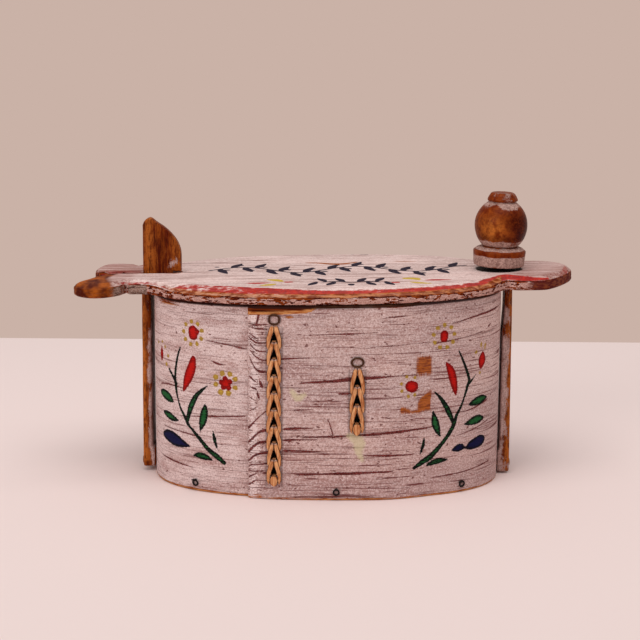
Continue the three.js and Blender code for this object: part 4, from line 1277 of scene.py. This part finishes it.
def leg(side, sizes, lift, top):
    """A springy leg with a heel that bears on the band."""
    standoff, top_thick, foot_thick = sizes
    heel = (12.4, 13, 13.8, 14.8)
    ends = (lift, lift + 0.4, lift + 1.2, top - 0.3, top)
    radius = 1.15
    points, levels = [], sorted({*ends, *heel, *np.arange(4, top - 1, 3)})
    for z in levels:
        share = (z - lift) / (top - lift)
        inner = BAND[0] + standoff - (standoff - FIT) * (1 - smoothstep(z, 12.6, 14.9))
        inner += 0.9 * smoothstep(z, 80, 100) * (side > 0)
        outer = BAND[0] + standoff + foot_thick + (top_thick - foot_thick) * share
        shrink = 0.5 if z == lift else (0.15 if z < lift + 0.5 else 0)
        x0, x1, y1 = inner + shrink, outer - shrink, LEG_HALF - shrink
        for cx, cy, start in ((x1, y1, 0), (x0, y1, 90), (x0, -y1, 180), (x1, -y1, 270)):
            for k in range(5):
                turn = math.radians(start + 22.5 * k)
                x = cx + (-radius if cx == x1 else radius) + radius * math.cos(turn)
                y = cy + (-radius if cy > 0 else radius) + radius * math.sin(turn)
                y += wobble((x, y, z * 0.6), 9, 0.25)
                x += wobble((y, z * 0.5, side), 12, 0.18) * (x > inner + 1.5)
                closer = 0.9 * smoothstep(y, -2, 5) if cx == x0 and standoff > 2 else 0
                points.append((side * (x - closer), y, z))
    faces = closed_tube(len(levels), 20)
    return points, [face[::-1] for face in faces] if side < 0 else faces


FIN_REACH = 21.8
FIN_RISE = 30.5
HOOK_HALF = 3.1
HOOK_GAP = 0.9
FIN = [(1, 0.28), (0.984, 0.404), (0.906, 0.55), (0.784, 0.676), (0.594, 0.808), (0.346, 0.929)]
FIN_PEAK = [(0.2, 1), (0.06, 0.95), (0, 0.865)]


def add_left_post():
    inner = BAND[0] + LEFT_LEG[0]
    outer = inner + LEFT_LEG[1] - 0.4
    top = rim_height(-outer) - FIT
    root = top - 12
    neck_low = rim_height(SLOT_END) + FIT
    neck_inner = 0.4 + SLOT_HALF - math.sqrt(SLOT_HALF ** 2 - HOOK_HALF ** 2) - SLOT_END
    hook_low = neck_low + LID_THICKNESS + HOOK_GAP

    def fin_run(shares):
        path = [(outer - FIN_REACH * run, hook_low + FIN_RISE * rise, 0) for run, rise in shares]
        return [(p[0], p[1]) for p in smooth_path(path, 4)]

    fin = fin_run(FIN) + fin_run([FIN[-1], *FIN_PEAK])[1:]
    outline = [
        (outer, root), *reversed(fin), (outer - FIN_REACH, hook_low), (neck_inner, hook_low),
        (neck_inner, neck_low), (inner, neck_low), (inner, root),
    ]
    loop = even_loop([(-x, z) for x, z in outline], 1.6)
    area = np.sum(loop[:, 0] * np.roll(loop[:, 1], -1) - np.roll(loop[:, 0], -1) * loop[:, 1])
    points, faces = plate(loop[::-1] if area < 0 else loop, rounding(-HOOK_HALF, HOOK_HALF, 1.0, 4), 1.5)
    head = [(x + wobble((x, z, y), 7, 0.12), -y, z) for x, z, y in points]
    x, _, z = np.array(head).T
    head_marks = {
        "paint": 0.8 * bell(x, -89, 6.5) * bell(z, 121, 5) - 0.2,
        "honey_and_highlight": 0.7 * bell(x, -102, 3) + 0.5 * bell(x, -86, 3.5),
        "deep": 0.55 * bell(x, -95.5, 3) * bell(z, 128, 9),
    }
    leg_points, leg_faces = leg(-1, LEFT_LEG, 2.9, top)
    x, y, z = np.array(leg_points).T
    paint = 0.74 * smooth_band(-x, 100.3, 103.6) - 0.06 - 0.016 * np.maximum(0, z - 80)
    paint = np.where(y < -6, paint, 0.12)
    pile = Pile()
    pile.add(leg_points, leg_faces, grain=leg_points, paint=paint, honey_and_highlight=smooth_band(-x, 104.2, 108))
    pile.add(head, faces, grain=head, **head_marks)
    add_piece("left_post", pile.points, pile.faces, POST_FINISH, "left_post", pile.marks, 50)


def smooth_band(value, low, high):
    """One between two values, falling off softly outside them."""
    return smoothstep(value, low - 0.8, low) * (1 - smoothstep(value, high, high + 1))


def knob_seat(height):
    """A frame on the right post's neck, leaning as the knob does."""
    return lid_frame() @ Matrix.Translation((NECK_X, 0, height)) @ Matrix.Rotation(KNOB_LEAN, 4, "Y")


def add_right_post():
    pile = Pile()
    points, faces = leg(1, RIGHT_LEG, 1.2, rim_height(BAND[0] + RIGHT_LEG[0]) - FIT)
    x, _, z = np.array(points).T
    paint = 0.76 - 0.5 * smooth_band(x, 104.9, 108) - 0.011 * np.maximum(0, z - 68)
    pile.add(points, faces, grain=points, paint=paint, honey_and_highlight=0.7 * smooth_band(x, 104.2, 108))
    shoulder = KNOB_BASE - FIT - NECK_RADIUS * math.sin(KNOB_LEAN)
    neck = [(6.6, -FIT), (NECK_RADIUS, 0.4), (NECK_RADIUS, shoulder - 0.4), (6.8, shoulder)]
    tenon = [(4, -FIT), (4, 23.4), (3.6, 24)]
    on_lid = lid_frame() @ Matrix.Translation((NECK_X, 0, 0))
    # The neck under the knob is painted black as shade.
    for profile, around, seat, dark in ((neck, 40, on_lid, 1.0), (tenon, 32, knob_seat(shoulder), 0.0)):
        points, faces = turned(profile, around)
        points = moved(points, seat)
        pile.add(points, faces, grain=points, paint=-0.5, dark=dark)
    add_piece("right_post", pile.points, pile.faces, POST_FINISH, "box", pile.marks, 50)


add_left_post()
add_right_post()


def add_knob():
    """Foot disc, ball and cap, turned in one and worn by the hand."""
    profile = [(0.6, 0, 0.3), (9, 0, 0.3), (13.6, 0, 0.7), (14.2, 0.35, 0.8), (14.45, 1.1, 0.86)]
    profile += [(14.45 + 0.55 * k / 6, 1.1 + 6.9 * k / 6, 0.86 if k < 5 else -0.1) for k in range(1, 7)]
    profile += [(14.95, 8.5, -0.4), (14.5, 8.95, -0.1), (13.8, 9.5, 0.7), (13.0, 10.1, 0.8),
                (11.4, 10.7, 0.6), (10.0, 11.0, 0.35), (9.6, 11.2, 0.2), (10.0, 11.5, 0.5)]
    low, high = -math.acos(BALL_FOOT / BALL_RADIUS), math.acos(BALL_TOP / BALL_RADIUS)
    rise = BALL_HEIGHT / (math.sin(high) - math.sin(low))
    for turn in np.linspace(low, high, 33):
        height = 11.6 + rise * (math.sin(turn) - math.sin(low))
        paint = -0.35 + max(0, height - 30) * 0.17
        if height < 16.4:
            paint = 0.72 if height < 15 else 0.34
        profile.append((BALL_RADIUS * math.cos(turn), height, paint))
    profile += [(7.7, 36.7, 0.5), (8.5, 37.0, 0.3), (8.8, 37.5, 0.35), (8.7, 38.1, 0.4), (8.0, 39.6, 0.42),
                (6.9, 41.2, 0.4), (6.2, 41.6, 0.35), (5.2, 41.6, 0.3), (0.4, 41.6, 0.3)]
    around = 64
    points, faces = turned([(r, z) for r, z, _ in profile], around)
    shaped = []
    for x, y, z in points:
        cut = 1 - (0.035 * abs(math.sin(math.atan2(y, x) * 4.5 + 0.5)) if z > 36.8 else 0)
        swell = 1 + wobble((x, y, z), 11, 0.012) + wobble((x, y, z), 4, 0.004)
        shaped.append((x * cut * swell, y * cut * swell, z))
    x, _, z = np.array(points).T
    # Painted shade on the ball's far side and in the crease above the disc, a painted highlight on its near
    # left side, and black painted shade on the disc's underside.
    over = x + 0.5 * (z - 22)
    shaded = 0.95 * smoothstep(over, 0, 9) + 0.35 * smoothstep(-over, 9, 14)
    shaded *= np.exp(-((z - 23.5) / 9) ** 4)
    upper = 0.4 * bell(x, 4, 6) * (z > 27) * (z < 36) * (z - 27) / 6
    marks = {
        "grain": shaped,
        "paint": np.repeat([paint for _, _, paint in profile], around) + upper,
        "dark": z < 0.2,
        "honey_and_highlight": 1.1 * bell(x, -6, 7) * bell(z, 21, 7),
        "deep": np.minimum(1, shaded + 0.5 * bell(z, 16.5, 1.8)),
    }
    points = moved(shaped, knob_seat(KNOB_BASE))
    add_piece("knob", points, faces, KNOB_FINISH, "box", marks, 50)


add_knob()


# Root lacings

def lacing(name, x, top, foot, loops, tab):
    """A chain of root loops, each drawn out of its slit under the one above."""
    heights = np.linspace(top, foot, loops)
    pitch, lower = heights[0] - heights[1], heights[-1]
    pile = Pile()
    around = 14
    # Painted shade along both edges of each strand.
    rims = np.array([abs(math.cos(2 * math.pi * k / around)) > 0.85 for k in range(around)]) * 0.7

    def strand(path, sizes, paint=0.0, dark=0.0):
        points, faces = tube(path, sizes, around)
        paint, dark = (np.repeat(np.broadcast_to(mark, len(path)), around) for mark in (paint, dark))
        grain = [(p[0] + path[0][2], p[1], p[2]) for p in points]
        pile.add(points, faces, grain=grain, paint=paint, dark=dark + np.tile(rims, len(path)))

    shares = np.linspace(0, 1, 20)
    inner = np.interp(shares, [0, 0.2, 0.4, 0.62, 1], [0, 0.1, 1.05, 1.9, 2.5])
    outer = np.interp(shares, [0, 0.1, 0.3, 0.55, 0.85, 1], [1.6, 2.4, 3.3, 4.1, 4.1, 3.2])
    proud = np.interp(shares, [0, 0.08, 0.2, 0.5, 0.66, 1], [-0.2, 0.55, 0.92, 0.85, 0.5, 0.3])
    # A painted highlight at the top of each loop, laid as pale paint.
    glint = np.interp(shares, [0, 0.05, 0.1], [0.6, 0.5, 0.0])
    for n, z in enumerate(heights[:-1]):
        for side in (-1, 1):
            lean = wobble((n, side, x), 0.7, 0.5)
            wide = 1 + wobble((n, x, side), 0.9, 0.12)
            path = [(side * (a + b) / 2 + lean * t, -FIT - h, z - 0.7 - t * pitch * 1.42)
                    for t, a, b, h in zip(shares, inner, outer, proud)]
            strand(path, [((b - a) / 2 * wide, 0.58) for a, b in zip(inner, outer)], glint)
    half, power = (2.7, 2 / 3.2) if loops > 5 else (3.1, 2 / 2.1)
    crown = []
    for k in range(29):
        turn = 2 * math.pi * k / 28
        rise = 2.7 + 2.3 * signed_power(math.sin(turn), power) + wobble((k, x, 0), 3, 0.3)
        crown.append((half * signed_power(math.cos(turn), power), -FIT - 0.42, top + rise))
    # The crown ring is painted mostly dark, as the shade round it.
    strand(crown, [(0.56, 0.46)] * len(crown), 0.1, 0.75)
    tongue, sizes = [], []
    for t in np.linspace(0, 1, 9):
        tongue.append((0, -FIT - 0.75, lower - 0.4 - t * (tab - 0.9)))
        tip = math.sqrt(max(0.04, 1 - (max(0, t - 0.25) / 0.76) ** 2.6))
        sizes.append((2.5 * tip * (0.62 + 0.38 * min(1, t / 0.3)), 0.7))
    strand(tongue, sizes)
    for side in (-1, 1):
        strand([(side * (2.1 + 0.9 * math.sin(t * 2.6)), -FIT - 0.5, lower + 1.5 - t * tab * 0.72)
                for t in shares], [(0.95 - 0.5 * t, 0.5) for t in shares])
    back = LAYER + BAND_WALL + FIT
    stitch = []
    for t in np.linspace(0, 1, 21):
        pulled = 0.25 * abs(math.sin(t * math.pi * (loops - 1)))
        stitch.append((0, back + 0.75 - pulled, lower - 0.4 + (top - lower + 0.8) * t))
    strand(stitch, [(1.8, 0.7)] * len(stitch), dark=0.1)
    # These short pieces inside the wall's slits are painted dark as shade.
    for z in heights:
        path = [(0, -FIT - 0.2, z + 0.1), (0, back * 0.5, z), (0, back + 0.6, z)]
        points, faces = tube(path, [(1.2, 0.42)] * 3, 8, (0, 0, 1))
        pile.add(points, faces, grain=points, dark=0.5)
    points = moved(pile.points, wall_seat(x, LAYER))
    add_piece(name, points, pile.faces, ROOT_FINISH, "box", pile.marks, 60)


lacing("long_root_lacing", *LONG_LACING)
lacing("short_root_lacing", *SHORT_LACING)


# Nails and pegs

PEG_DEPTH = 15
PEG_APART = 4.5
PEG_UP = 6.2


def add_nail(name, seat, tail):
    """A thin iron nail whose end is curled to a ring on the wood."""
    shank = [(0, 13, 6.4), (0, 4, 6.4), (0, -0.6, 6.4), (0, -1.4, 6.5)]
    turns = [math.pi / 2 + 2 * math.pi * k / 25 for k in range(27)]
    ring = [(1.5 * math.cos(t), -0.8 - 0.2 * math.sin(t), 4.9 + 1.55 * math.sin(t)) for t in turns]
    end = [(0, -0.9, 6.6), (tail * 0.9, -0.85, 6.5), (tail * 1.9, -0.75, 5.9 + 0.2 * abs(tail))]
    pile = Pile()
    for path, radius in ((shank, 0.68), (ring, 0.5), (end, 0.42)):
        points, faces = tube(path, [(radius, radius)] * len(path), 9, (1, 0.3, 0))
        pile.add(points, faces, grain=points)
    add_piece(name, moved(pile.points, seat), pile.faces, IRON_FINISH, "box", pile.marks, 60)


def add_nails():
    half_round = Matrix.Rotation(math.pi, 4, "Z")
    for label, x, tail in (("left", -73.0, -1.2), ("middle", 5.4, 0.6), ("right", 75.6, -1.1)):
        turn = np.array(front_turn(BAND, x))
        lift = float(strip_lift(turn)) if x > LAP_END else 0.0
        add_nail("nail_front_" + label, wall_seat(x, lift), tail)
        add_nail("nail_back_" + label, half_round @ wall_seat(-x, 0), tail)


def add_pegs():
    start = BAND[0] - PEG_DEPTH
    for label, side, (standoff, _, foot_thick) in (("left", -1, LEFT_LEG), ("right", 1, RIGHT_LEG)):
        long = BAND[0] + standoff + foot_thick + 0.5 - start
        profile = [(1.9, 0), (2.4, 0.5), (2.4, long - 0.6), (2.2, long - 0.2), (1.6, long)]
        points, faces = turned(profile, 24)
        marks = {"grain": points, "paint": [-0.2] * len(points)}
        for row, where in ((-1, "front"), (1, "back")):
            shape = [(side * (start + z), side * y + row * PEG_APART, PEG_UP + x) for x, y, z in points]
            add_piece(f"{label}_peg_{where}", shape, faces, BOARD_FINISH, "box", marks)


add_nails()
add_pegs()


# Floor, wall and light

def stage_finish(name, tint):
    darker = tuple(v * 0.895 for v in tint[:3]) + (1.0,)
    f = Finish(name, darker)
    where = f.add("ShaderNodeTexCoord", None, out="Object")
    # Painted shade: the floor is darker near the front and lighter towards the back.
    f.lay(f.part(where, 1).between(-0.45, 0.15) * 0.9 + f.noise(where, 3.0, 2, 0.5) * 0.1, tint)
    return f.done(0.2, roughness=0.75)


def add_stage():
    """A pale table top, painted a little darker towards the front, which evens out the light falling on it.
    """
    reach, back = 4, 0.353
    mesh = bpy.data.meshes.new("floor")
    corners = [(-reach, -reach, 0), (reach, -reach, 0), (reach, back, 0), (-reach, back, 0)]
    mesh.from_pydata(corners, [], [(0, 1, 2, 3)])
    mesh.materials.append(stage_finish("floor", colour(243, 220, 214)))
    sheet = placed("floor", mesh)


def add_room():
    """Soft light all round, seen as a plain beige wall."""
    world = bpy.data.worlds.new("room")
    world.use_nodes = True
    tree = world.node_tree
    seen, wall = tree.nodes.new("ShaderNodeLightPath"), tree.nodes.new("ShaderNodeBackground")
    clear, either = tree.nodes.new("ShaderNodeMath"), tree.nodes.new("ShaderNodeMath")
    mix = tree.nodes.new("ShaderNodeMixShader")
    either.use_clamp = True
    light = tree.nodes["Background"]
    light.inputs["Color"].default_value = (0.97, 0.99, 1.0, 1)
    light.inputs["Strength"].default_value = 0.5
    wall.inputs["Color"].default_value = colour(202, 178, 167)
    for start, end in (
        (seen.outputs["Is Glossy Ray"], clear.inputs[0]),
        (seen.outputs["Is Transmission Ray"], clear.inputs[1]),
        (seen.outputs["Is Camera Ray"], either.inputs[0]),
        (clear.outputs[0], either.inputs[1]),
        (either.outputs[0], mix.inputs[0]),
        (light.outputs[0], mix.inputs[1]),
        (wall.outputs[0], mix.inputs[2]),
        (mix.outputs[0], tree.nodes["World Output"].inputs["Surface"]),
    ):
        tree.links.new(start, end)
    scene.world = world


def add_light(name, place, target, size, power):
    lamp = bpy.data.lights.new(name, "AREA")
    lamp.shape = "RECTANGLE"
    lamp.size, lamp.size_y = size
    lamp.energy = power
    lamp.color = (0.98, 0.99, 1)
    thing = placed(name, lamp)
    thing.location = place
    thing.rotation_mode = "QUATERNION"
    thing.rotation_quaternion = (Vector(target) - Vector(place)).to_track_quat("-Z", "Y")


def add_lights():
    add_light("ceiling_light", (0.1, -0.5, 1.9), (0, 0, 0), (1.8, 1.4), 20)
    add_light("front_light", (-1.3, -1.6, 1.0), (0, 0, 0.05), (1.2, 0.9), 11)


add_stage()
add_room()
add_lights()

scene.view_settings.view_transform = "Standard"
